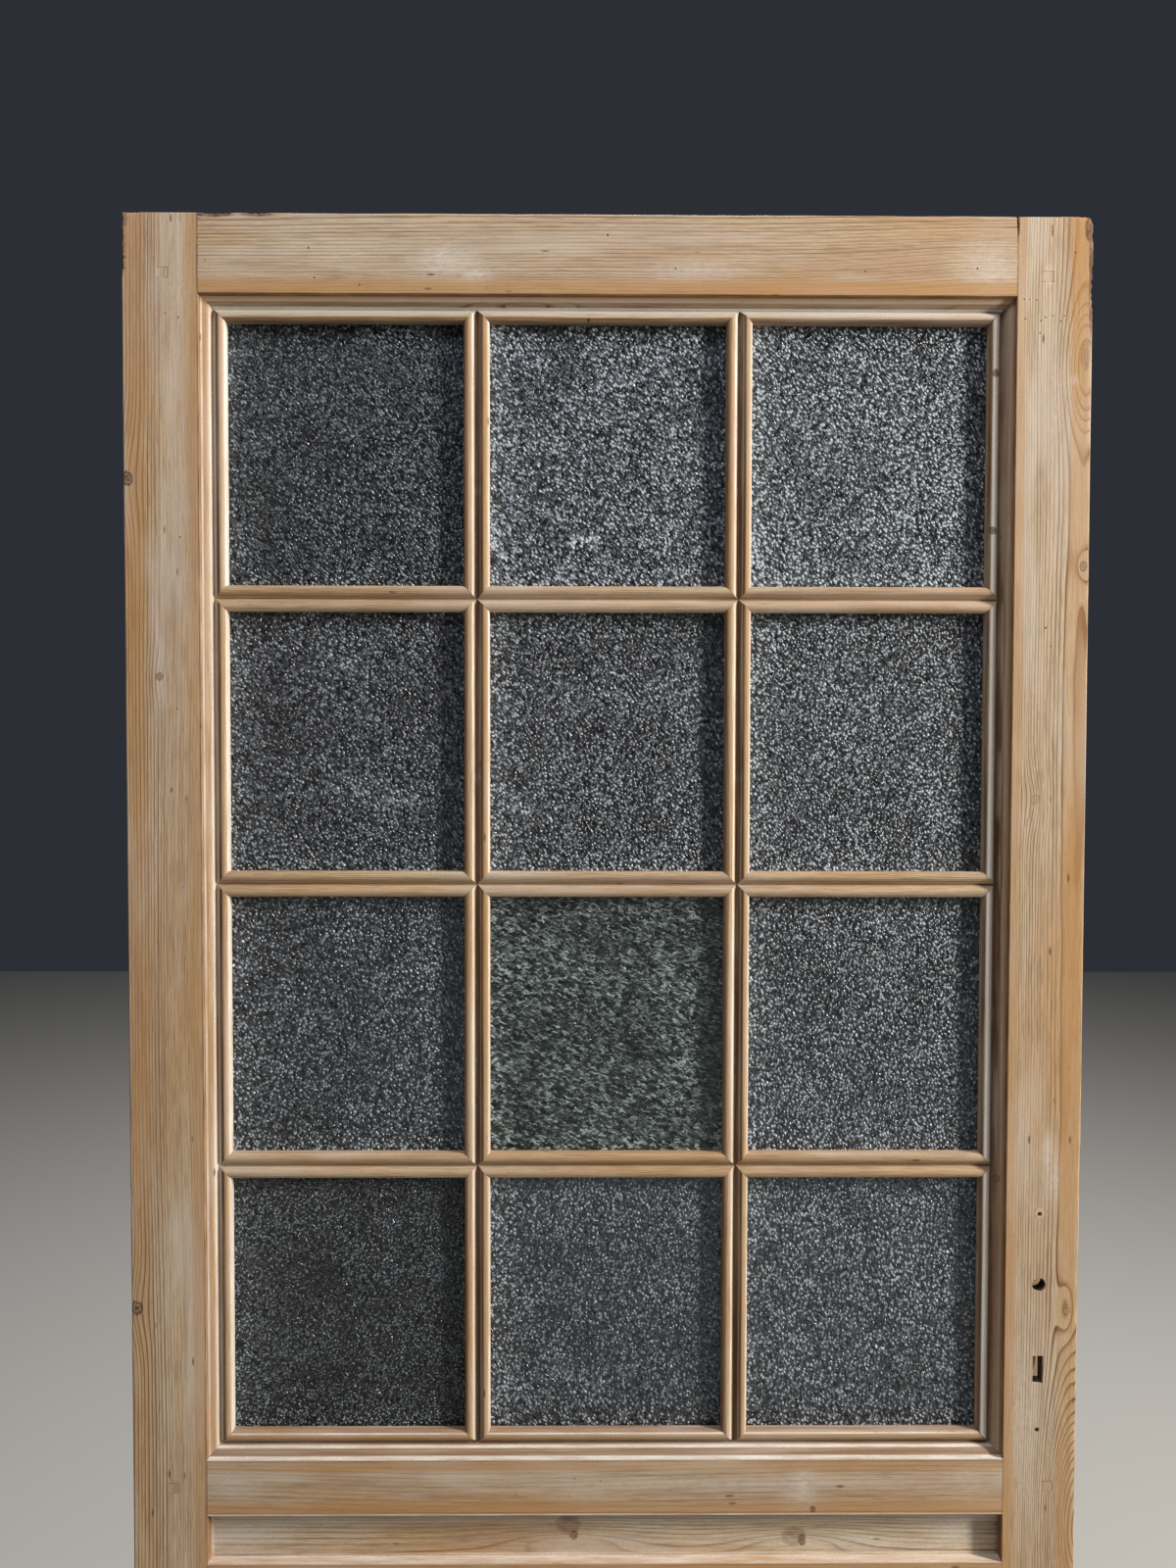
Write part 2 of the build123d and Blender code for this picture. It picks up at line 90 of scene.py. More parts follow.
leaf = {"height": 2.04, "thick": 0.042}
view = {
    "place": (0.4242, -1.1249, 1.5463), "pitch": 1.719, "yaw": 0.395, "roll": 0.103,
    "focalPixels": 1202.0, "longSide": 1600, "sensor": 36,
}
lamps = {
    "key": {"at": (3.7, -1.3, 2.8), "to": (0.5, 0, 1.6), "size": (0.36, 1.7), "watts": 211, "colour": "#FFFAF2"},
    "top": {"at": (0.1, -1.3, 3.9), "to": (0.4, 0, 1.6), "size": (1.2, 0.7), "watts": 27, "colour": "#F6F6FF"},
    "back": {"at": (0.45, 2.0, 5.0), "to": (0.45, 0, 1.0), "size": (1.6, 1.0), "watts": 120, "colour": "#FFFFFF"},
}
room = {"air": "#2C2F35", "floor": "#B9B7B2", "floorRough": 0.8, "floorSize": 14, "floorAt": (0.45, 0, 0)}

cameraData = bpy.data.cameras.new("camera")
cameraData.sensor_width = view["sensor"]
cameraData.lens = view["focalPixels"] / view["longSide"] * view["sensor"]
camera = bpy.data.objects.new("camera", cameraData)
scene.collection.objects.link(camera)
yaw, pitch, roll = (math.radians(view[k]) for k in ("yaw", "pitch", "roll"))
ahead = Vector((math.sin(yaw), math.cos(yaw), 0))
side = Vector((math.cos(yaw), -math.sin(yaw), 0))
up = Vector((0, 0, 1))
forward = ahead * math.cos(pitch) - up * math.sin(pitch)
upward = up * math.cos(pitch) + ahead * math.sin(pitch)
right = side * math.cos(roll) + upward * math.sin(roll)
upward = upward * math.cos(roll) - side * math.sin(roll)
turn = Matrix((right, upward, -forward)).transposed()
camera.matrix_world = Matrix.Translation(view["place"]) @ turn.to_4x4()
scene.camera = camera

for name, lamp in lamps.items():
    data = bpy.data.lights.new(name, "AREA")
    data.shape = "RECTANGLE"
    data.size, data.size_y = lamp["size"]
    data.energy = lamp["watts"]
    data.color = linear(lamp["colour"])[:3]
    made = bpy.data.objects.new(name, data)
    made.location = lamp["at"]
    aim = Vector(lamp["to"]) - Vector(lamp["at"])
    made.rotation_euler = aim.to_track_quat("-Z", "Y").to_euler()
    scene.collection.objects.link(made)

world = bpy.data.worlds.new("room")
world.use_nodes = True
world.node_tree.nodes["Background"].inputs["Color"].default_value = linear(room["air"])
world.node_tree.nodes["Background"].inputs["Strength"].default_value = 1.0
scene.world = world
scene.view_settings.view_transform = "Standard"

bpy.ops.mesh.primitive_plane_add(size=room["floorSize"], location=room["floorAt"])
floor = bpy.context.object
floor.name = "floor"
floorPaint = bpy.data.materials.new("paleFloor")
floorPaint.use_nodes = True
floorShader = floorPaint.node_tree.nodes["Principled BSDF"]
floorShader.inputs["Base Color"].default_value = linear(room["floor"])
floorShader.inputs["Roughness"].default_value = room["floorRough"]
floor.data.materials.append(floorPaint)
print("stage ready")


# ---- stripped pine

# colours of the pine. The last two, a lighter and a deeper brown, are painted shade for shaded faces and grooves; the
# pale lime colour is lime residue and also painted highlight
pine = {
    "late": "#6E4624", "warm": "#BD8B50", "lime": "#F0EBE2", "pink": "#B79A84", "fibre": "#7A5C3E", "stain": "#6B4630",
    "hole": "#241A12", "rim": "#4A2E1C", "dirt": "#8F7355", "dull": "#8E6A50", "umber": "#54381F",
}
# noise stretched along the grain: cells a metre along it and across it, detail, roughness, seed
grainNoise = {
    "fibre": (34, 900, 2.0, 0.6, 11.0), "fibreSoft": (9, 260, 2.0, 0.55, 5.0), "tone": (2.2, 14, 2.0, 0.55, 21.0),
    "broken": (22, 200, 3.0, 0.65, 17.0), "gritty": (120, 240, 3.0, 0.7, 53.0), "drift": (1.6, 9, 1.0, 0.5, 0.0),
    "ripple": (14, 60, 1.0, 0.5, 7.0), "strength": (5, 30, 1.0, 0.5, 3.0), "blush": (3.1, 17, 2.0, 0.55, 43.0),
    "limed": (4.0, 26, 3.0, 0.62, 31.0),
}
# masks made of them: noise, gain and offset, cut off at 0 and 1
grainMasks = {
    "broken": ("broken", 1.9, -0.35), "gritty": ("gritty", 1.6, -0.2), "pores": ("fibre", 1.1, 0.15),
    "streaks": ("fibreSoft", 1.5, 0.1), "rubbed": ("tone", 0.9, 0.35), "strength": ("strength", 1.3, 0.2),
}
log = {
    "drift": 5.0 * mm, "ripple": 0.35 * mm,  # slow and quick waviness of the rings
    "unevenRate": 0.23, "uneven": 1.3,  # years of wide and of narrow rings
    "growth": [(0.0, 0.3), (0.06, 0.0), (0.62, 0.05), (0.84, 0.42), (0.94, 1.0), (1.0, 0.75)],  # darkness in one year
    "yearGain": 0.6, "yearLeast": 0.5, "contrast": 1.55,
}
# tones laid over the rings: noise, where it starts and is full, amount, colour
skin = [
    ("tone", 0.42, 0.68, 0.5, "warm"), ("blush", 0.45, 0.7, 0.38, "pink"),
    ("fibreSoft", 0.48, 0.62, 0.18, "late"), ("fibre", 0.48, 0.6, 0.36, "fibre"),
]
lime = {"range": (0.46, 0.7), "amount": 0.8}
# strips along a board: its key, their colour, what breaks them up
# the dark strips are painted shade lines in quirks, grooves and under steps, with dark joint lines and a darker foot
# among them
strips = [("gold", "warm", "rubbed"), ("limeLines", "lime", "broken"), ("grime", "stain", "broken")]
stripCore = 0.35  # the share of a strip's width that is full
# marks: where each fades out is given in distances from its middle, 1 at its rim
knot = {
    "shrink": 0.3, "ragged": 0.7, "heart": (0.8, 1.05), "rings": 13.0, "ringDepth": 0.2, "ringTone": 0.22,
    "rim": 0.95, "rimWide": (0.03, 0.2), "rimDark": 0.8, "rimGain": 1.6, "rimGaps": -0.3,
}
stain = {"fade": (0.5, 1.3), "amount": 1.5}
hole = {"fade": (0.35, 1.1), "dark": 0.9}
peg = {"line": (4.9 * mm, 5.4 * mm), "amount": 0.6, "gain": 0.9, "least": 0.2}  # the dark line round a square peg
socket = {"fade": (1.0, 1.4), "deep": (-20.6 * mm, -17.0 * mm), "amount": 0.85}  # painted shade inside the lock's holes: deep is where the painted shade starts
pores = {"along": 28, "across": 95, "rare": 0.86, "fade": (0.05, 0.17), "amount": 0.8}
dirt = {"scale": 620.0, "range": (0.5, 0.75), "amount": 0.35}
relief = {"fibreSoft": 0.4, "fibre": 0.6, "fleck": -0.8, "pit": -3.0, "dent": -0.7}
surface = {"bump": 0.55, "deep": 0.35 * mm, "specular": 0.28, "roughness": 0.66, "limeRoughness": 0.12}


def pineMaterial(name, board):
    # Stripped pine: a section of a log, with pale springwood, thin brown summerwood and a dry limed skin
    made = bpy.data.materials.new(name)
    made.use_nodes = True
    made.node_tree.nodes.clear()
    add = partial(addNode, made.node_tree)
    place = add("TexCoord", None, out="Object")
    x, y, z = add("SeparateXYZ", None, place, out=None).outputs
    axes = {"x": x, "z": z}
    s, c = (z, x) if board["grain"] == "z" else (x, z)  # along the grain and across it

    grain = {}
    for kind, (alongRate, acrossRate, detail, rough, seed) in grainNoise.items():
        stretched = add(
            "CombineXYZ", None, add("Math", "MULTIPLY_ADD", s, alongRate, seed + board["seed"]),
            add("Math", "MULTIPLY", c, acrossRate), add("Math", "MULTIPLY", y, acrossRate))
        settings = {"Vector": stretched, "Scale": 1.0, "Detail": detail, "Roughness": rough}
        grain[kind] = add("TexNoise", "3D", settings, out="Fac")
    masks = {}
    for key, (kind, gain, offset) in grainMasks.items():
        masks[key] = add("Math", "MULTIPLY_ADD", grain[kind], gain, offset, use_clamp=True)

    def near(along, across, reachAlong, reachAcross):
        # squared distance from a spot on the board, 1 at its rim
        ds = add("Math", "MULTIPLY", add("Math", "SUBTRACT", s, along), 1 / reachAlong)
        dc = add("Math", "MULTIPLY", add("Math", "SUBTRACT", c, across), 1 / reachAcross)
        return add("Math", "ADD", add("Math", "MULTIPLY", ds, ds), add("Math", "MULTIPLY", dc, dc))

    def glow(spot):
        # 1 in the middle of a spot, fading out round it
        return add("Math", "EXPONENT", add("Math", "MULTIPLY", near(*spot), -1.0))

    # rings by their distance from the pith of the log, bent round the knots
    away = []
    for line, pith, lean in zip((c, y), board["pith"], board.get("lean", (0.0, 0.0))):
        gap = add("Math", "SUBTRACT", add("Math", "SUBTRACT", line, pith), add("Math", "MULTIPLY", s, lean))
        away.append(add("Math", "MULTIPLY", gap, gap))
    radius = add("Math", "SQRT", add("Math", "ADD", *away))
    for kind in ("drift", "ripple"):
        sway = add("Math", "MULTIPLY", add("Math", "SUBTRACT", grain[kind], 0.5), 2 * log[kind])
        radius = add("Math", "ADD", radius, sway)
    for *spot, push in board.get("eyes", []):
        radius = add("Math", "ADD", radius, add("Math", "MULTIPLY", glow(spot), push * mm))
    rings = add("Math", "MULTIPLY", radius, 1 / (board["ring"] * mm))
    slow = {"W": add("Math", "MULTIPLY", rings, log["unevenRate"]), "Scale": 1.0, "Detail": 1.0}
    rings = add("Math", "MULTIPLY_ADD", add("TexNoise", "1D", slow, out="Fac"), log["uneven"], rings)
    year = add("TexWhiteNoise", "1D", {"W": add("Math", "FLOOR", rings)}, out="Value")
    year = add("Math", "MULTIPLY_ADD", year, log["yearGain"], log["yearLeast"])
    growth = add("ValToRGB", None, add("Math", "FRACT", rings), stops=log["growth"])
    bold = add("Math", "MULTIPLY", masks["strength"], board["contrast"] * log["contrast"])
    if "fade" in board:
        bold = add("Math", "MULTIPLY", bold, add("MapRange", "SMOOTHSTEP", c, *board["fade"]))
    summer = add("Math", "MULTIPLY", add("Math", "MULTIPLY", growth, year), bold, use_clamp=True)

    layers = [(summer, linear(pine["late"]))]  # each a mask and the colour that it lays over the ones before
    for kind, low, high, amount, shade in skin:
        mask = add("MapRange", "SMOOTHSTEP", grain[kind], low, high)
        layers.append((add("Math", "MULTIPLY", mask, amount), linear(pine[shade])))

    # limed haze in soft patches, and lime left in the pores
    haze = add("MapRange", "SMOOTHSTEP", grain["limed"], *lime["range"])
    haze = add("Math", "MULTIPLY", haze, board["haze"] * lime["amount"])
    for *spot, amount in board.get("patches", []):
        patch = add("Math", "MULTIPLY", glow(spot), add("Math", "MULTIPLY", masks["gritty"], amount))
        haze = add("Math", "MAXIMUM", haze, patch)
    layers.append((add("Math", "MULTIPLY", haze, masks["pores"]), linear(pine["lime"])))

    # bands across the moulded strips of a board: painted shade on faces and grooves that lie in shade, painted
    # highlight on lit crests, and a warmer tone on some ribs
    for shade, axis, low, high, amount in board.get("bands", []):
        sides = add("Math", "GREATER_THAN", axes[axis], low), add("Math", "LESS_THAN", axes[axis], high)
        mask = add("Math", "MULTIPLY", add("Math", "MULTIPLY", *sides), masks["streaks"])
        layers.append((add("Math", "MULTIPLY", mask, amount), linear(pine[shade])))
    # rubbed golden strips; lime left in quirks and grooves, some of these pale lines also a painted highlight on lit
    # edges; painted shade lines in quirks, grooves and under steps, with dark joint lines among them
    for key, shade, patchy in strips:
        for axis, at, wide, amount in board.get(key, []):
            gap = add("Math", "ABSOLUTE", add("Math", "SUBTRACT", axes[axis], at))
            mask = add("MapRange", "SMOOTHSTEP", gap, wide * stripCore, wide, amount, 0.0)
            layers.append((add("Math", "MULTIPLY", mask, masks[patchy]), linear(pine[shade])))

    # knots: an uneven dark rim round a browner heart with its own rings
    dent = 0.0
    for *spot, tint, amount in board.get("knots", []):
        q = add("Math", "SUBTRACT", add("Math", "SQRT", near(*spot)), knot["shrink"])
        q = add("Math", "MULTIPLY_ADD", masks["gritty"], knot["ragged"], q)
        rim = add("Math", "ABSOLUTE", add("Math", "SUBTRACT", q, knot["rim"]))
        rim = add("MapRange", "SMOOTHSTEP", rim, *knot["rimWide"], knot["rimDark"], 0.0)
        gaps = add("Math", "MULTIPLY_ADD", masks["broken"], knot["rimGain"] * amount, knot["rimGaps"], use_clamp=True)
        rim = add("Math", "MULTIPLY", rim, gaps)
        waves = add("Math", "SINE", add("Math", "MULTIPLY", q, knot["rings"]))
        waves = add("Math", "MULTIPLY_ADD", waves, knot["ringDepth"], knot["ringTone"])
        heart = add("Mix", "RGBA", {0: waves, 6: linear(tint), 7: linear(board["early"])}, out=2)
        layers.append((add("MapRange", "SMOOTHSTEP", q, *knot["heart"], amount, 0.0), heart))
        layers.append((add("Math", "MULTIPLY", rim, hole["dark"]), linear(pine["rim"])))
        dent = add("Math", "MAXIMUM", dent, rim)

    # soft brown stains
    for *spot, amount in board.get("stains", []):
        mask = add("MapRange", "SMOOTHSTEP", near(*spot), *stain["fade"], 1.0, 0.0)
        grit = add("Math", "MULTIPLY", masks["gritty"], stain["amount"] * amount)
        layers.append((add("Math", "MULTIPLY", mask, grit, use_clamp=True), linear(pine["stain"])))

    # nail holes and worm holes, and the dark line round each square peg
    pit = 0.0
    for along, across, size in board.get("holes", []):
        one = add("MapRange", "SMOOTHSTEP", near(along, across, size * mm, size * mm), *hole["fade"], 1.0, 0.0)
        pit = add("Math", "MAXIMUM", pit, one)
    for spot in board.get("pegs", []):
        reach = [add("Math", "ABSOLUTE", add("Math", "SUBTRACT", line, at)) for line, at in zip((s, c), spot)]
        one = add("MapRange", "SMOOTHSTEP", add("Math", "MAXIMUM", *reach), *peg["line"], peg["amount"], 0.0)
        one = add("Math", "MULTIPLY", one, add("Math", "MULTIPLY_ADD", masks["broken"], peg["gain"], peg["least"]))
        pit = add("Math", "MAXIMUM", pit, one)
    layers.append((add("Math", "MULTIPLY", pit, hole["dark"]), linear(pine["hole"])))

    # painted shade on the walls of the lock's holes, darker deeper in
    for spot in board.get("sockets", []):
        inside = add("MapRange", "SMOOTHSTEP", near(*spot), *socket["fade"], socket["amount"], 0.0)
        deep = add("MapRange", "SMOOTHSTEP", y, *socket["deep"])
        layers.append((add("Math", "MULTIPLY", inside, deep), linear(pine["hole"])))

    # pores, tool nicks and specks scattered over the face, and dirt
    cell = add(
        "CombineXYZ", None, add("Math", "MULTIPLY", s, pores["along"]),
        add("Math", "MULTIPLY", c, pores["across"]), add("Math", "MULTIPLY", y, pores["across"]))
    specks = add("TexVoronoi", "F1", {"Vector": cell, "Scale": 1.0, "Randomness": 1.0}, out=None).outputs
    lucky = add("Math", "GREATER_THAN", add("SeparateXYZ", None, specks["Color"]), pores["rare"])
    fleck = add("MapRange", "SMOOTHSTEP", specks["Distance"], *pores["fade"], 1.0, 0.0)
    fleck = add("Math", "MULTIPLY", fleck, lucky)
    layers.append((add("Math", "MULTIPLY", fleck, pores["amount"]), linear(pine["stain"])))
    grime = add("TexNoise", "3D", {"Vector": place, "Scale": dirt["scale"], "Detail": 2.0, "Roughness": 0.7}, out="Fac")
    grime = add("MapRange", "SMOOTHSTEP", grime, *dirt["range"])
    layers.append((add("Math", "MULTIPLY", grime, dirt["amount"]), linear(pine["dirt"])))

    colour = linear(board["early"])
    for mask, tint in layers:
        colour = add("Mix", "RGBA", {0: mask, 6: colour, 7: tint}, out=2)
    height = 0.0
    for key, part in dict(grain, fleck=fleck, pit=pit, dent=dent).items():
        if key in relief:
            height = add("Math", "MULTIPLY_ADD", part, relief[key], height)
    bump = add("Bump", None, {"Strength": surface["bump"], "Distance": surface["deep"], "Height": height})
    rough = add("Math", "MULTIPLY_ADD", haze, surface["limeRoughness"], surface["roughness"])
    shader = add("BsdfPrincipled", None, {
        "Base Color": colour, "Roughness": rough, "Specular IOR Level": surface["specular"], "Normal": bump})
    add("OutputMaterial", None, shader, out=None)
    return made


def paint(node, material):
    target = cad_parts[node]
    target.data.materials.clear()
    target.data.materials.append(material)
    for face in target.data.polygons:
        face.material_index = 0


# board: ring and colour of its wood, then its marks in metres. Spots are (along, across, reach along, reach across)
# and more: eyes push the rings aside by mm, knots have a colour and an amount, patches of lime and stains an amount.
# Holes have a size in mm, pegs only a place. Strips are (axis, place, half width, amount) and bands (colour, axis,
# from, to, amount). Fade is how the contrast changes across the board
boards = {
    "hinge_stile": {
        "grain": "z", "pith": (-0.110, 0.035), "lean": (0.002, -0.002), "ring": 3.1,
        "fade": (0.022, 0.042, 1.25, 0.28), "seed": 3.0, "haze": 0.6, "early": "#D6BFA0", "contrast": 1.5,
        "pegs": [(1.985, 0.0378), (0.8413, 0.0378), (0.7373, 0.0378), (0.1477, 0.0378), (0.0492, 0.0378)],
        "eyes": [
            (1.797, 0.002, 0.05, 0.012, 7), (1.613, 0.030, 0.02, 0.008, 3), (1.015, 0.004, 0.035, 0.012, 6),
            (1.30, 0.05, 0.25, 0.03, 4),
        ],
        "knots": [
            (1.796, 0.0035, 0.0075, 0.0055, "#5E4233", 1.0), (1.613, 0.032, 0.0045, 0.0042, "#8A6547", 0.85),
            (1.0154, 0.0054, 0.008, 0.0055, "#5A3E2E", 1.0), (1.507, 0.0422, 0.0025, 0.0016, "#7A5434", 0.8),
        ],
        "gold": [("x", 0.066, 0.012, 0.6), ("x", 0.011, 0.013, 0.45)],
        # bands: painted shade on the lit band and in the groove of the moulding, painted light on the groove's shaded
        # wall, and a warmer rib
        "bands": [
            ("dull", "x", 0.0722, 0.0770, 0.5), ("lime", "x", 0.0800, 0.0822, 0.5),
            ("umber", "x", 0.0828, 0.0862, 0.9), ("warm", "x", 0.0862, 0.0905, 0.4),
        ],
        # pale lines: lime, the first and the last also a painted highlight on lit edges
        "limeLines": [("x", 0.0716, 0.0012, 1.0), ("x", 0.0784, 0.0012, 0.6), ("x", 0.0919, 0.0014, 0.9)],
        # painted shade on the lit riser of the moulding's step
        "grime": [("x", 0.0698, 0.0012, 0.9)],
        "patches": [
            (1.97, 0.05, 0.05, 0.02, 0.5), (1.77, 0.052, 0.05, 0.014, 0.45), (1.05, 0.045, 0.012, 0.006, 0.6),
        ],
        "stains": [(2.012, 0.0012, 0.028, 0.0020, 0.9), (2.034, 0.003, 0.008, 0.004, 0.6)],
        "holes": [
            (1.9985, 0.030, 0.7), (1.9480, 0.040, 0.8), (1.9440, 0.052, 0.9), (1.7420, 0.052, 0.9),
            (1.5830, 0.048, 0.8), (1.4160, 0.052, 0.6),
        ],
    },
    "lock_stile": {
        "grain": "z", "pith": (0.896, 0.031), "lean": (-0.001, 0.002), "ring": 1.6, "fade": (0.86, 0.88, 0.85, 1.25),
        "seed": 9.0, "haze": 0.45, "early": "#D0BA9B", "contrast": 1.2,
        "pegs": [(1.985, 0.8584), (0.8413, 0.872), (0.7373, 0.8622), (0.1477, 0.8622), (0.0492, 0.8622)],
        "eyes": [
            (1.9016, 0.896, 0.055, 0.020, -9), (1.4991, 0.8516, 0.03, 0.010, 4), (1.7174, 0.897, 0.02, 0.010, 3),
            (1.0112, 0.8885, 0.03, 0.009, 4), (0.800, 0.908, 0.11, 0.036, -24),
        ],
        "knots": [
            (1.4991, 0.8516, 0.0050, 0.0055, "#A98257", 0.75), (1.7174, 0.8945, 0.0050, 0.0040, "#8A6442", 0.8),
            (1.0112, 0.8885, 0.0036, 0.0036, "#9E7A52", 0.8), (1.8986, 0.8139, 0.0045, 0.0045, "#3C271B", 0.8),
            (1.7518, 0.8130, 0.0040, 0.0040, "#3C271B", 0.8), (1.1060, 0.8622, 0.0062, 0.0062, "#DDC9AA", 0.55),
            (1.1360, 0.8232, 0.0032, 0.0030, "#7A4A34", 0.8),
        ],
        "sockets": [(1.0368, 0.8620, 0.0100, 0.0100), (0.9548, 0.8620, 0.0200, 0.0080)],
        "gold": [("x", 0.832, 0.010, 0.6), ("x", 0.889, 0.012, 0.6)],
        # bands: painted shade over the shaded moulding, painted highlight on its rib's crest
        "bands": [
            ("umber", "x", 0.8078, 0.8100, 0.8), ("lime", "x", 0.8108, 0.8166, 0.95),
            ("umber", "x", 0.8180, 0.8290, 0.4),
        ],
        # the first pale line is a painted highlight on the rib's crest
        "limeLines": [("x", 0.8140, 0.0022, 0.9), ("x", 0.8262, 0.0010, 0.35)],
        # painted shade on the step's riser and in the groove
        "grime": [("x", 0.8296, 0.0012, 0.9), ("x", 0.8190, 0.0035, 0.7)],
        "patches": [
            (1.1415, 0.8745, 0.028, 0.009, 0.75), (1.86, 0.862, 0.06, 0.016, 0.5), (0.91, 0.850, 0.09, 0.020, 0.5),
            (1.955, 0.8345, 0.03, 0.004, 0.8), (1.985, 0.8584, 0.010, 0.005, 0.9), (1.890, 0.8840, 0.006, 0.005, 1.0),
            (1.1650, 0.8690, 0.020, 0.006, 0.9),
        ],
        "stains": [
            (1.912, 0.8935, 0.014, 0.0045, 0.35), (2.032, 0.8300, 0.010, 0.0012, 2.5),
            (2.029, 0.8958, 0.012, 0.0042, 0.9), (2.008, 0.8985, 0.03, 0.0030, 0.9), (1.97, 0.8990, 0.04, 0.003, 0.9),
            (2.0270, 0.8615, 0.006, 0.0012, 0.9),
        ],
        "holes": [
            (1.9640, 0.8360, 0.8), (1.9640, 0.8408, 0.6), (1.9635, 0.8475, 0.8), (1.9460, 0.8372, 0.9),
            (1.9445, 0.8515, 0.8), (1.9475, 0.8560, 0.8), (1.9490, 0.8630, 0.7), (1.9440, 0.8702, 0.9),
            (1.9490, 0.8735, 0.8), (1.9330, 0.8510, 0.9), (2.0070, 0.8830, 0.9), (0.9220, 0.8395, 0.7),
            (1.6600, 0.8600, 1.1), (1.6430, 0.8650, 0.8),
        ],
    },
    "top_rail": {
        "grain": "x", "pith": (2.075, 0.045), "lean": (0.006, 0.002), "ring": 2.3, "seed": 14.0, "haze": 0.5,
        "early": "#D1BB9C", "contrast": 0.95,
        "eyes": [(0.375, 1.962, 0.05, 0.010, 4), (0.800, 1.995, 0.10, 0.030, 6)],
        "knots": [(0.3420, 1.9715, 0.007, 0.003, "#B08458", 0.6)],
        "gold": [("z", 1.971, 0.013, 0.8)],
        # a lime line on the rib's top, also a painted highlight
        "limeLines": [("z", 1.9545, 0.0022, 0.9)],
        # bands: painted light on the lit band and on the groove's lower slope, painted shade in the groove and under
        # the rib
        "bands": [
            ("lime", "z", 1.9618, 1.9656, 0.6), ("umber", "z", 1.9580, 1.9614, 0.5),
            ("lime", "z", 1.9532, 1.9582, 1.1), ("lime", "z", 1.9500, 1.9532, 0.3),
            ("umber", "z", 1.9400, 1.9480, 0.7),
        ],
        # painted shade line under the moulding's step, and dark joint lines at the stiles
        "grime": [("z", 1.9668, 0.0012, 0.9), ("x", 0.0703, 0.0008, 0.9), ("x", 0.8297, 0.0008, 0.9)],
        "patches": [
            (0.300, 1.998, 0.035, 0.018, 0.95), (0.325, 1.984, 0.018, 0.010, 0.9), (0.530, 1.990, 0.05, 0.012, 0.6),
            (0.805, 1.990, 0.03, 0.03, 0.8), (0.21, 2.005, 0.05, 0.012, 0.5),
        ],
        "stains": [
            (0.085, 2.0385, 0.020, 0.0028, 1.0), (0.125, 2.0385, 0.016, 0.0022, 0.8), (0.86, 2.030, 0.05, 0.001, 0.6),
        ],
        "holes": [
            (0.1725, 2.0080, 1.1), (0.1780, 1.9810, 1.0), (0.2195, 1.9745, 0.9), (0.4490, 2.0209, 1.2),
            (0.4313, 1.9465, 1.6), (0.5120, 1.9905, 1.0), (0.6880, 1.9890, 0.9), (0.7920, 1.9920, 1.1),
            (0.0770, 1.9960, 0.8),
        ],
    },
    "lock_rail": {
        "grain": "x", "pith": (0.795, 0.060), "lean": (0.003, 0.003), "ring": 2.4, "seed": 23.0, "haze": 0.6,
        "early": "#C8B297", "contrast": 0.55,
        "eyes": [(0.35, 0.84, 0.2, 0.03, 4)],
        "gold": [("z", 0.820, 0.010, 0.6), ("z", 0.862, 0.008, 0.6)],
        "limeLines": [
            ("z", 0.8684, 0.0014, 1.0), ("z", 0.8760, 0.0012, 1.0), ("z", 0.8884, 0.0010, 1.0),
            ("z", 0.8150, 0.0012, 0.7),
        ],
        # bands: painted shade over the shaded strips of the moulding, and a warmer rib
        "bands": [
            ("dull", "z", 0.8892, 0.8906, 0.6), ("warm", "z", 0.8838, 0.8878, 0.6),
            ("umber", "z", 0.8802, 0.8836, 0.4), ("dull", "z", 0.8768, 0.8800, 0.6),
            ("dull", "z", 0.8692, 0.8753, 0.7),
        ],
        # painted shade lines under the step and under the rail's lower edge, and dark joint lines at the stiles
        "grime": [
            ("z", 0.8668, 0.0010, 0.7), ("z", 0.8168, 0.0008, 0.6), ("x", 0.0703, 0.0007, 0.7),
            ("x", 0.8297, 0.0007, 0.7),
        ],
        "patches": [
            (0.55, 0.845, 0.20, 0.006, 0.6), (0.637, 0.842, 0.016, 0.026, 0.8), (0.095, 0.850, 0.03, 0.02, 0.6),
            (0.43, 0.838, 0.03, 0.012, 0.4), (0.80, 0.848, 0.03, 0.02, 0.5),
        ],
        "stains": [(0.648, 0.8195, 0.003, 0.0035, 0.9)],
        "holes": [(0.420, 0.8500, 0.8), (0.445, 0.8470, 0.8), (0.6700, 0.8810, 0.9), (0.3640, 0.8345, 0.7)],
    },
    "cross_rail": {
        "grain": "x", "pith": (0.700, 0.070), "lean": (0.002, 0.003), "ring": 2.6, "seed": 31.0, "haze": 0.4,
        "early": "#C8B090", "contrast": 0.8,
        "gold": [("z", 0.764, 0.010, 0.6)], "limeLines": [("z", 0.7672, 0.0010, 0.7)],
        "patches": [(0.25, 0.75, 0.04, 0.015, 0.5)], "holes": [(0.42, 0.762, 1.2)],
    },
    "bottom_rail": {
        "grain": "x", "pith": (0.050, 0.110), "lean": (0.004, 0.003), "ring": 2.9, "seed": 41.0, "haze": 0.45,
        "early": "#C8B090", "contrast": 0.9,
        "eyes": [(0.62, 0.09, 0.10, 0.03, 8), (0.26, 0.13, 0.06, 0.02, 4)],
        "knots": [(0.62, 0.088, 0.012, 0.008, "#86603F", 0.9), (0.26, 0.135, 0.007, 0.006, "#96704A", 0.8)],
        "gold": [("z", 0.183, 0.012, 0.6)], "limeLines": [("z", 0.1895, 0.0012, 0.6)],
        # the dark strip along z 0 darkens the foot of the door
        "grime": [("z", 0.0, 0.03, 0.5)], "holes": [(0.35, 0.05, 1.0), (0.52, 0.16, 0.9)],
    },
    "frieze_panel": {
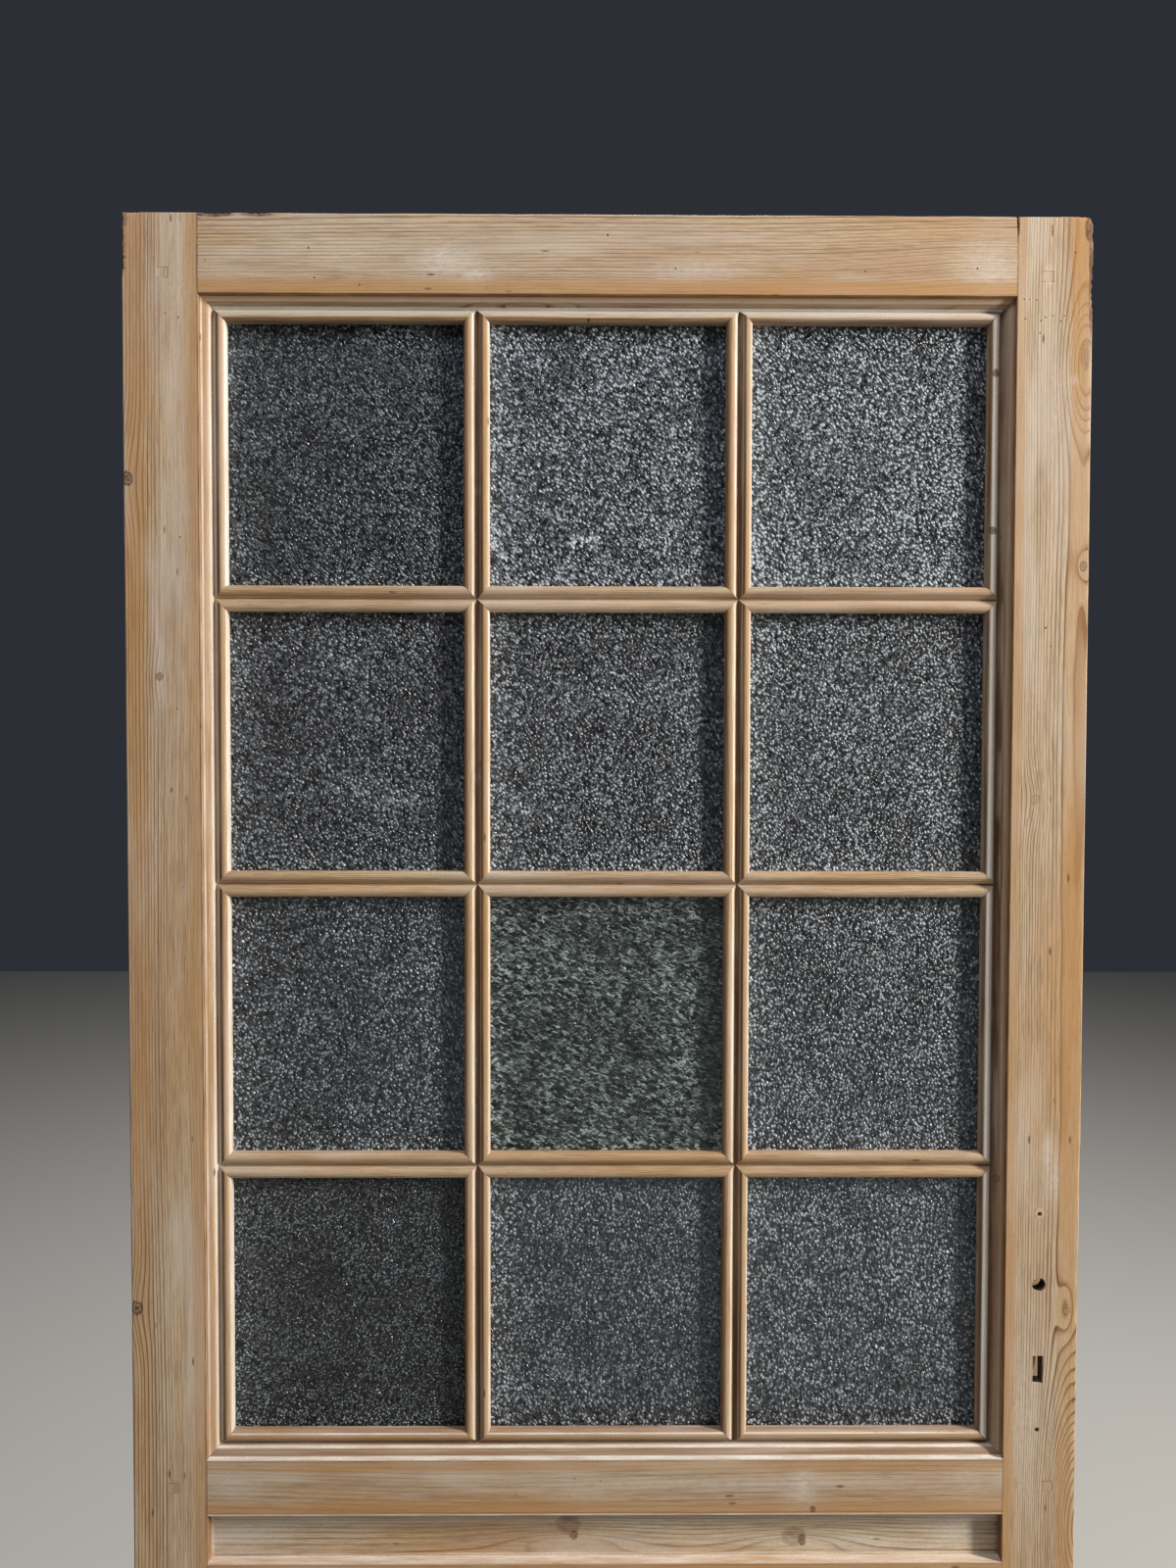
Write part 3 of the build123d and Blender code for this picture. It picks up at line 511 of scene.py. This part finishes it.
        "grain": "x", "pith": (0.760, 0.040), "lean": (-0.012, -0.006), "ring": 2.6, "seed": 55.0, "haze": 0.7,
        "early": "#DAC8AC", "contrast": 0.95,
        "eyes": [(0.4143, 0.784, 0.07, 0.012, -7), (0.6348, 0.783, 0.06, 0.012, -7)],
        "knots": [(0.4195, 0.7868, 0.0045, 0.0045, "#6E4A38", 0.9), (0.6400, 0.7820, 0.004, 0.006, "#6E4A38", 0.9)],
        # bands: painted light along the panel's top, lifting the shade cast there by the lock rail
        "bands": [("lime", "z", 0.8060, 0.8136, 0.55), ("lime", "z", 0.7990, 0.8060, 0.3)],
        # lime lines, also a painted highlight at the foot and beside the lit stile edge at the left end
        "limeLines": [("z", 0.7690, 0.0014, 0.8), ("x", 0.0715, 0.0022, 0.9)],
        # painted shade line under the lock rail and painted shade at the panel's right end beside the stile
        "grime": [("z", 0.8142, 0.0012, 0.7), ("x", 0.829, 0.003, 0.5)],
        "patches": [(0.10, 0.79, 0.03, 0.02, 0.7), (0.79, 0.79, 0.03, 0.02, 0.9)],
        "stains": [(0.4143, 0.7985, 0.012, 0.011, 0.45), (0.6320, 0.7850, 0.012, 0.010, 0.45)],
        "holes": [(0.4205, 0.7858, 1.0)],
    },
    "lower_panel": {
        "grain": "x", "pith": (0.440, 0.150), "lean": (0.015, 0.010), "ring": 3.0, "seed": 63.0, "haze": 0.5,
        "early": "#CBB598", "contrast": 0.95,
        "eyes": [(0.30, 0.52, 0.16, 0.05, 12), (0.66, 0.34, 0.14, 0.05, 10), (0.20, 0.27, 0.05, 0.015, 4)],
        "knots": [
            (0.30, 0.52, 0.011, 0.009, "#86603F", 0.9), (0.66, 0.34, 0.012, 0.009, "#7E5839", 0.9),
            (0.20, 0.27, 0.006, 0.006, "#8F6A48", 0.8),
        ],
        # the line at the left end is lime and also a painted highlight beside the lit stile edge
        "limeLines": [("x", 0.0715, 0.002, 0.6), ("z", 0.1915, 0.0016, 0.6)],
        # painted shade under the rail above and at the panel's right end beside the stile
        "grime": [("z", 0.7072, 0.002, 0.6), ("x", 0.829, 0.003, 0.4)],
        "patches": [(0.15, 0.65, 0.05, 0.03, 0.6), (0.72, 0.62, 0.06, 0.03, 0.6), (0.45, 0.24, 0.08, 0.02, 0.5)],
        "holes": [(0.5, 0.44, 0.8)],
    },
}
for name, board in boards.items():
    paint(name, pineMaterial("strippedPine" + "".join(word.title() for word in name.split("_")), board))

# bars: strips and bands in mm from the middle of a bar
barCentres = {"left": 0.326733, "right": 0.573267}
rowCentres = [1.7871875, 1.5175625, 1.2479375]
slim = {"ring": 1.7, "haze": 0.4, "early": "#CFB999", "contrast": 0.8, "lean": (0.002, 0.0)}
crossingLime = (4 * mm, 3 * mm, 1.4)  # reach along and across, and amount, where the bars meet
uprightBar = {
    # painted shade on the bar's shaded left side and in its groove, with a lighter line in the groove
    "bands": [
        ("umber", -12.0, -10.0, 0.7), ("umber", 0.2, 3.0, 0.95), ("dull", 3.0, 4.2, 0.6), ("umber", 4.2, 6.4, 0.9),
    ],
    # painted highlights on the lit right edges of both ribs
    "limeLines": [(-3.4, 1.2, 0.8), (11.4, 1.2, 0.8)],
    # painted shade lines in the groove's bottom and along the bar's left edge
    "grime": [(0.0, 1.6, 0.8), (-11.8, 1.2, 0.5)],
    "gold": [(9.0, 5.0, 0.5), (-9.0, 4.0, 0.4)],
}
crossBar = {
    # a duller painted shade over the lower rib, and deep painted shade along both edges
    "bands": [("dull", -4.0, 2.2, 0.7), ("umber", 9.8, 12.0, 0.75), ("umber", -12.0, -10.0, 0.6)],
    # painted highlight lines on the lit edges, and pale paint lifting the groove's shade
    "limeLines": [(0.6, 1.0, 0.5), (-4.6, 1.3, 1.0), (9.4, 0.8, 0.6)],
    # painted shade line in the groove
    "grime": [(3.6, 1.8, 1.0)],
}


def barBoard(marks, axis, at, **more):
    board = dict(slim, **more)
    for key, rows in marks.items():
        if key == "bands":
            board[key] = [(shade, axis, at + low * mm, at + high * mm, amount) for shade, low, high, amount in rows]
        else:
            board[key] = [(axis, at + place * mm, wide * mm, amount) for place, wide, amount in rows]
    return board


for index, (name, at) in enumerate(barCentres.items()):
    crossings = [(height + 1 * mm, at + 1 * mm, *crossingLime) for height in rowCentres]
    board = barBoard(uprightBar, "x", at, grain="z", pith=(at + 0.03, 0.03), seed=71.0 + index * 6, patches=crossings)
    paint("upright_bar_" + name, pineMaterial("barPine" + name.title(), board))
for index, at in enumerate(rowCentres):
    board = barBoard(crossBar, "z", at, grain="x", pith=(at + 0.02, 0.035), seed=81.0 + index * 5)
    paint("cross_bars_" + str(index + 1), pineMaterial("crossBarPine" + str(index + 1), board))

beadPine = pineMaterial("beadPine", {
    "grain": "z", "pith": (0.45, 0.12), "ring": 2.2, "seed": 91.0, "haze": 0.35, "early": "#BFA688", "contrast": 0.8})
pegPine = pineMaterial("pegPine", {
    "grain": "z", "pith": (0.45, 0.3), "ring": 2.0, "seed": 97.0, "haze": 0.8, "early": "#C9B59C", "contrast": 0.5})
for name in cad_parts:
    if name.startswith("beads_"):
        paint(name, beadPine)
    elif name.endswith("_pegs"):
        paint(name, pegPine)


# ---- worn edges: arrises rubbed round, with chips, torn places and a joint that has opened

wear = {
    "insets": (0.9 * mm, 2.6 * mm, 6.0 * mm),  # lines cut beside each outer edge, so that only a narrow strip changes
    "slice": 11 * mm, "fine": 1.3 * mm,  # length of a step along the edge, and where it is torn
    "long": 0.1, "ends": 4 * mm,  # half a bite's length from which only its ends are cut fine, and how far
    "arris": 1.0 * mm, "uneven": 0.7, "unevenAlong": 45, "unevenThrough": 30, "axisStep": 9.0, "seed": 5.0,
    "tornAlong": 330, "tornThrough": 90, "tornLeast": 0.75, "torn": 0.7,  # how ragged chips and bites are
    "ramp": 3 * mm,  # how quickly a bite gets deep
    "merge": 0.002 * mm, "onPlane": 0.001 * mm, "thin": 0.004 * mm, "hair": 0.01 * mm, "stub": 0.1 * mm,
    "smooth": 28,  # degrees
}
# edge: axis across it, its place, which way is inward, then (place along it, half length, depth) of chips off the
# arris and of bites through the whole edge
wornEdges = {
    "hinge_stile": [
        (0, 0.0, 1, [
            (2.030, 0.012, 2.2 * mm), (1.995, 0.020, 1.8 * mm), (1.60, 0.012, 1.2 * mm), (1.012, 0.016, 1.8 * mm),
            (0.55, 0.02, 1.6 * mm),
        ], [(2.004, 0.024, 1.3 * mm), (2.036, 0.006, 1.6 * mm), (1.120, 0.010, 0.7 * mm)]),
        (2, 2.04, -1, [(0.010, 0.012, 1.8 * mm)], []),
        (2, 0.0, 1, [(0.03, 0.02, 3.0 * mm)], [(0.004, 0.006, 2.0 * mm)]),
    ],
    "lock_stile": [
        (0, 0.9, -1, [
            (2.034, 0.012, 4.0 * mm), (1.975, 0.022, 2.4 * mm), (1.912, 0.012, 1.4 * mm), (1.30, 0.02, 1.4 * mm),
            (1.180, 0.008, 1.6 * mm), (0.72, 0.02, 1.5 * mm),
        ], [(2.040, 0.006, 3.4 * mm), (2.022, 0.006, 1.4 * mm), (1.976, 0.021, 1.1 * mm), (0.585, 0.587, 0.7 * mm)]),
        (2, 2.04, -1, [(0.893, 0.012, 3.0 * mm)], []),
        (2, 0.0, 1, [(0.88, 0.02, 3.0 * mm)], [(0.897, 0.006, 2.0 * mm)]),
    ],
    "top_rail": [
        (2, 2.04, -1, [
            (0.085, 0.018, 1.6 * mm), (0.128, 0.012, 1.4 * mm), (0.36, 0.02, 1.2 * mm), (0.70, 0.03, 1.2 * mm),
        ], [(0.088, 0.014, 0.7 * mm), (0.126, 0.010, 0.6 * mm)]),
    ],
    "bottom_rail": [
        (2, 0.0, 1, [(0.20, 0.03, 3.0 * mm), (0.47, 0.05, 2.5 * mm), (0.74, 0.03, 3.2 * mm)], [(0.47, 0.03, 1.0 * mm)]),
    ],
}
openJoint = {"board": "top_rail", "at": 0.83, "low": 2.012, "wide": 1.8 * mm}


def wornBoard(node, edges):
    shell = bmesh.new()
    shell.from_mesh(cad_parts[node].data)
    bmesh.ops.remove_doubles(shell, verts=shell.verts, dist=wear["merge"])

    def cut(part, axis, at):
        place = [at if i == axis else 0.0 for i in range(3)]
        normal = [1.0 if i == axis else 0.0 for i in range(3)]
        return bmesh.ops.bisect_plane(shell, geom=part, plane_co=place, plane_no=normal, dist=wear["onPlane"])["geom"]

    face = leaf["thick"] / 2
    strip, hair = wear["insets"][-1], wear["hair"]
    whole = [(axis, at + inward * inset) for axis, at, inward, chips, bites in edges for inset in wear["insets"]]
    whole += [(1, side * (face - inset)) for side in (-1, 1) for inset in wear["insets"][:2]]
    if node == openJoint["board"]:
        whole.append((2, openJoint["low"]))
    for axis, at in whole:
        cut(shell.verts[:] + shell.edges[:] + shell.faces[:], axis, at)

    # cross cuts along each edge, close together where it is torn
    for axis, at, inward, chips, bites in edges:
        along = 2 - axis
        inside = {v for v in shell.verts if (v.co[axis] - at) * inward < strip + hair}
        part = list(inside)
        part += [e for e in shell.edges if inside.issuperset(e.verts)]
        part += [f for f in shell.faces if inside.issuperset(f.verts)]
        low, high = min(v.co[along] for v in inside), max(v.co[along] for v in inside)
        stops = list(np.arange(low, high, wear["slice"]))
        for centre, half, depth in chips + bites:
            spans = [(centre - half, centre + half)]
            if half > wear["long"]:
                spans = [(end - wear["ends"], end + wear["ends"]) for end in spans[0]]
            for first, last in spans:
                stops += list(np.arange(first, last, wear["fine"]))
        for stop in sorted(stops):
            if low + wear["stub"] < stop < high - wear["stub"]:
                part = cut(part, along, stop)

    # bites move the edge in, then the arris is rubbed or chipped off it
    for v in shell.verts:
        for axis, at, inward, chips, bites in edges:
            along = v.co[2 - axis]
            under = (v.co[axis] - at) * inward
            if under > strip - hair:
                continue
            spot = (along * wear["unevenAlong"] + wear["seed"], v.co.y * wear["unevenThrough"], axis * wear["axisStep"])
            rub = noise.noise(Vector(spot))
            spot = (along * wear["tornAlong"], v.co.y * wear["tornThrough"], wear["seed"])
            tear = wear["tornLeast"] + wear["torn"] * noise.noise(Vector(spot))
            bite = 0.0
            for centre, half, depth in bites:
                inBite = min(1.0, max(0.0, (half - abs(along - centre)) / min(half, wear["ramp"])))
                bite = max(bite, depth * inBite * (tear if half < wear["long"] else 1.0))
            if under < bite:
                v.co[axis] = at + inward * bite
            size = wear["arris"] * (1 + wear["uneven"] * rub)
            for centre, half, depth in chips:
                size = max(size, depth * tear * (1 - ((along - centre) / half) ** 2))
            deep = face - abs(v.co.y)
            short = size - deep - max(under - bite, 0.0)
            if short > 0:
                v.co[axis] += inward * short / 2
                v.co.y -= math.copysign(short / 2, v.co.y)
    if node == openJoint["board"]:
        gap = openJoint["wide"] / (leaf["height"] - openJoint["low"])
        for v in shell.verts:
            if abs(v.co.x - openJoint["at"]) < hair and v.co.z > openJoint["low"] and v.co.y < 0:
                v.co.x -= gap * (v.co.z - openJoint["low"])
    bmesh.ops.dissolve_degenerate(shell, dist=wear["thin"], edges=shell.edges)
    bmesh.ops.recalc_face_normals(shell, faces=shell.faces)

    made = bpy.data.meshes.new("worn_" + node)
    shell.to_mesh(made)
    shell.free()
    if "custom_normal" in made.attributes:
        made.attributes.remove(made.attributes["custom_normal"])
    made.shade_smooth()
    made.set_sharp_from_angle(angle=math.radians(wear["smooth"]))
    made.materials.clear()
    made.materials.append(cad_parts[node].data.materials[0])
    piece = bpy.data.objects.new("worn_" + node, made)
    scene.collection.objects.link(piece)
    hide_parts(node)
    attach(piece, "root")


for node, edges in wornEdges.items():
    wornBoard(node, edges)
print("pine ready")


# ---- rolled glass

glass = {
    "step": 1.85 * mm, "relief": 0.6 * mm, "cell": 2.9 * mm, "stretch": 1.6, "turn": 33.0, "wander": 1.0,
    "dome": 2.3 * mm, "swell": 1.9 * mm, "through": 0.2,  # bumps seen in the shading: spacing, height, depth in it
    "shake": 260.0,  # cells a metre of what sets the bumps out of line
    # the pale layer over the glass is dust and also painted glints
    "tint": "#414C55", "roughness": 0.17, "dust": 0.75, "dustTint": "#BECAD6", "dustRough": 0.4,
    "cloud": 13.0, "cloudRange": (0.34, 0.66, 0.35, 1.45),  # dust and painted glints in clouds, and how far they vary
    "edges": (35 * mm, 25 * mm), "edgeDust": 0.8,  # more dust along the left edge and the foot, together with a painted reflection of the wood there
    "dustTop": (0.12, 0.55, 1.0, 0.06), "dustChance": (0.0, 1.0, -0.15, 1.6),  # dust and painted glints on the tops of domes, and which of them
    "scuffGrain": 170.0, "scuffRange": (0.45, 0.62), "ior": 1.52,
    "rebate": 6.5 * mm,  # how much of a pane the bars hide
}
# pane: what differs from the plain rolled sheet. A scuff is x, z, reach along x and z, amount
panes = {
    "1_left": {"dust": 0.46, "tint": "#26323A", "dustTint": "#A9BCC8"},
    "1_middle": {
        "dust": 1.0,
        "scuffs": [
            (0.4280, 1.7440, 0.010, 0.005, 3.0), (0.4200, 1.7400, 0.006, 0.003, 2.5),
            (0.3480, 1.7300, 0.010, 0.020, 1.2),
        ],
    },
    "1_right": {"dust": 1.12, "scuffs": [(0.5900, 1.7200, 0.010, 0.022, 1.0)]},
    "2_left": {"dust": 0.54, "scuffs": [(0.2500, 1.4950, 0.030, 0.006, 0.5), (0.2100, 1.5060, 0.03, 0.004, 0.4)]},
    "2_middle": {"dust": 0.62, "scuffs": [(0.3700, 1.4900, 0.014, 0.008, 0.9)]},
    "2_right": {"dust": 0.74},
    "3_left": {"dust": 0.6},
    "3_middle": {
        "dust": 0.6, "stretch": 3.8, "dome": 1.9 * mm, "swell": 1.5 * mm, "wander": 5.0, "turn": 64.0,
        "crossing": 106.0, "tint": "#3C4B4D", "dustTint": "#AFC0BF",
    },
    "3_right": {"dust": 0.7},
    "4_left": {
        "dust": 0.42, "dome": 2.1 * mm, "stretch": 1.15, "wander": 2.5, "tint": "#1B262D", "dustTint": "#AEC0CC",
    },
    "4_middle": {"dust": 0.6, "scuffs": [(0.4000, 0.9300, 0.06, 0.02, 0.25)]},
    "4_right": {"dust": 0.74},
}


def rolledGlass(name, sheet):
    # Rolled obscured glass gone grey: close-set little domes that glint over a dark blue-grey body, with dust and
    # painted glints on their tops
    made = bpy.data.materials.new(name)
    made.use_nodes = True
    made.node_tree.nodes.clear()
    add = partial(addNode, made.node_tree)
    place = add("TexCoord", None, out="Object")
    x, y, z = add("SeparateXYZ", None, place, out=None).outputs
    shaken = add("TexNoise", "3D", {"Vector": place, "Scale": sheet["shake"], "Detail": 1.0}, out="Color")
    shaken = add("VectorMath", "MULTIPLY_ADD", shaken, (sheet["wander"] * mm,) * 3, place)

    def domes(angle):
        turned = add("VectorRotate", "Y_AXIS", {"Vector": shaken, "Angle": math.radians(angle)})
        scale = (1 / sheet["dome"], sheet["through"] / sheet["dome"], 1 / (sheet["dome"] * sheet["stretch"]))
        fitted = add("VectorMath", "MULTIPLY", turned, scale)
        return add("TexVoronoi", "F1", {"Vector": fitted, "Scale": 1.0, "Randomness": 1.0}, out=None).outputs

    cells = domes(sheet["turn"])
    distance = cells["Distance"]
    if "crossing" in sheet:
        distance = add("Math", "MINIMUM", distance, domes(sheet["crossing"])["Distance"])
    height = add("Math", "SUBTRACT", 1.0, add("Math", "MULTIPLY", distance, distance))
    bump = add("Bump", None, {"Strength": 1.0, "Distance": sheet["swell"], "Height": height})
    body = add("BsdfPrincipled", None, {
        "Base Color": linear(sheet["tint"]), "Roughness": sheet["roughness"], "Transmission Weight": 1.0,
        "IOR": sheet["ior"], "Normal": bump})

    # dust and painted glints: in clouds, more along two edges, where it is also a painted reflection of the wood, on
    # the tops of chosen domes
    cloud = {"Vector": place, "Scale": sheet["cloud"], "Detail": 4.0, "Roughness": 0.7}
    spread = add("MapRange", None, add("TexNoise", "3D", cloud, out="Fac"), *sheet["cloudRange"])
    for line, low, wide in zip((x, z), sheet["corner"], sheet["edges"]):
        edge = add("MapRange", "SMOOTHSTEP", line, low, low + wide, sheet["edgeDust"], 0.0)
        spread = add("Math", "ADD", spread, edge)
    centre = add("MapRange", "SMOOTHSTEP", distance, *sheet["dustTop"])
    chosen = add("MapRange", None, add("SeparateXYZ", None, cells["Color"]), *sheet["dustChance"])
    chosen = add("Math", "MAXIMUM", chosen, 0.0)
    amount = add(
        "Math", "MULTIPLY", add("Math", "MULTIPLY", spread, sheet["dust"]), add("Math", "MULTIPLY", centre, chosen))
    fine = add("TexNoise", "3D", {"Vector": place, "Scale": sheet["scuffGrain"], "Detail": 2.0}, out="Fac")
    grit = add("MapRange", None, fine, *sheet["scuffRange"])
    for across, up, reachAcross, reachUp, much in sheet.get("scuffs", []):
        dx = add("Math", "DIVIDE", add("Math", "SUBTRACT", x, across), reachAcross)
        dz = add("Math", "DIVIDE", add("Math", "SUBTRACT", z, up), reachUp)
        q = add("Math", "ADD", add("Math", "MULTIPLY", dx, dx), add("Math", "MULTIPLY", dz, dz))
        soft = add("Math", "EXPONENT", add("Math", "MULTIPLY", q, -1.0))
        soft = add("Math", "MULTIPLY", soft, add("Math", "MULTIPLY", chosen, chosen))
        soft = add("Math", "MULTIPLY", soft, add("Math", "MULTIPLY", grit, much))
        amount = add("Math", "ADD", amount, soft)
    amount = add("Math", "MINIMUM", amount, 1.0)
    dust = add("BsdfPrincipled", None, {
        "Base Color": linear(sheet["dustTint"]), "Roughness": sheet["dustRough"], "Normal": bump})
    add("OutputMaterial", None, add("MixShader", None, amount, body, dust), out=None)
    return made


def paneTree():
    # Geometry nodes: a rolled sheet, flat behind, with a pressed relief on its face
    tree = bpy.data.node_groups.new("rolledSheet", "GeometryNodeTree")
    add = partial(addNode, tree)
    tree.interface.new_socket("Geometry", in_out="OUTPUT", socket_type="NodeSocketGeometry")
    sizes = ("Width", "Height", "Thickness", "Step", "Relief", "Cell", "Stretch", "Turn", "Wander")
    for name, kind in dict(dict.fromkeys(sizes, "Float"), Seed="Int", Material="Material").items():
        tree.interface.new_socket(name, in_out="INPUT", socket_type="NodeSocket" + kind)
    given = add("NodeGroupInput", None, out=None).outputs
    size = add("CombineXYZ", None, given["Width"], given["Thickness"], given["Height"])
    sheet = add("GeometryNodeMeshCube", None, {
        "Size": size, "Vertices X": add("Math", "DIVIDE", given["Width"], given["Step"]), "Vertices Y": 2,
        "Vertices Z": add("Math", "DIVIDE", given["Height"], given["Step"])}, out="Mesh")
    at = add("GeometryNodeInputPosition", None)
    spin = add("VectorRotate", "Y_AXIS", {"Vector": at, "Angle": given["Turn"]})
    parts = add("SeparateXYZ", None, spin, out=None).outputs
    seed = add("Math", "MULTIPLY", given["Seed"], 7.3)  # far enough apart for each pane to differ
    spot = add(
        "CombineXYZ", None, add("Math", "DIVIDE", parts[0], given["Cell"]), seed,
        add("Math", "DIVIDE", add("Math", "DIVIDE", parts[2], given["Cell"]), given["Stretch"]))
    rolled = {"Vector": spot, "Scale": 1.0, "Detail": 1.0, "Distortion": given["Wander"]}
    pressed = add("TexNoise", "3D", rolled, out="Fac")
    front = add("Math", "LESS_THAN", add("SeparateXYZ", None, at, out=1), 0.0)
    depth = add("Math", "MULTIPLY", add("Math", "MULTIPLY", pressed, given["Relief"]), front)
    moved = add("GeometryNodeSetPosition", None, {"Geometry": sheet, "Offset": add("CombineXYZ", None, {1: depth})})
    moved = add("GeometryNodeSetShadeSmooth", None, {"Geometry": moved, "Shade Smooth": front})
    moved = add("GeometryNodeRealizeInstances", None, {"Geometry": moved})
    moved = add("GeometryNodeSetMaterial", None, {"Geometry": moved, "Material": given["Material"]})
    add("NodeGroupOutput", None, moved, out=None)
    return tree


def grow(name, tree, values):
    # runs a geometry tree and keeps its result as a plain mesh
    holder = bpy.data.objects.new(name, bpy.data.meshes.new(name))
    scene.collection.objects.link(holder)
    modifier = holder.modifiers.new("grow", "NODES")
    modifier.node_group = tree
    for item in tree.interface.items_tree:
        if item.in_out == "INPUT" and item.name in values:
            modifier[item.identifier] = values[item.name]
    bpy.context.view_layer.update()
    mesh = bpy.data.meshes.new_from_object(holder.evaluated_get(bpy.context.evaluated_depsgraph_get()))
    holder.modifiers.remove(modifier)
    holder.data = mesh
    return holder


sheetTree = paneTree()
for index, (name, change) in enumerate(panes.items()):
    node = "pane_" + name
    low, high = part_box(node)
    size = Vector(high) - Vector(low)
    sheet = dict(glass, **change)
    sheet["corner"] = (low[0] + glass["rebate"], low[2] + glass["rebate"])
    values = {key: sheet[key.lower()] for key in ("Step", "Relief", "Cell", "Stretch", "Wander")}
    values.update({"Width": size.x, "Height": size.z, "Thickness": size.y, "Turn": math.radians(sheet["turn"])})
    values.update({"Seed": index + 1, "Material": rolledGlass("rolledGlass" + name.title().replace("_", ""), sheet)})
    pane = grow("glass_" + name, sheetTree, values)
    pane.data.transform(Matrix.Translation((Vector(low) + Vector(high)) / 2))
    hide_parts(node)
    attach(pane, "root")
print("glass ready")
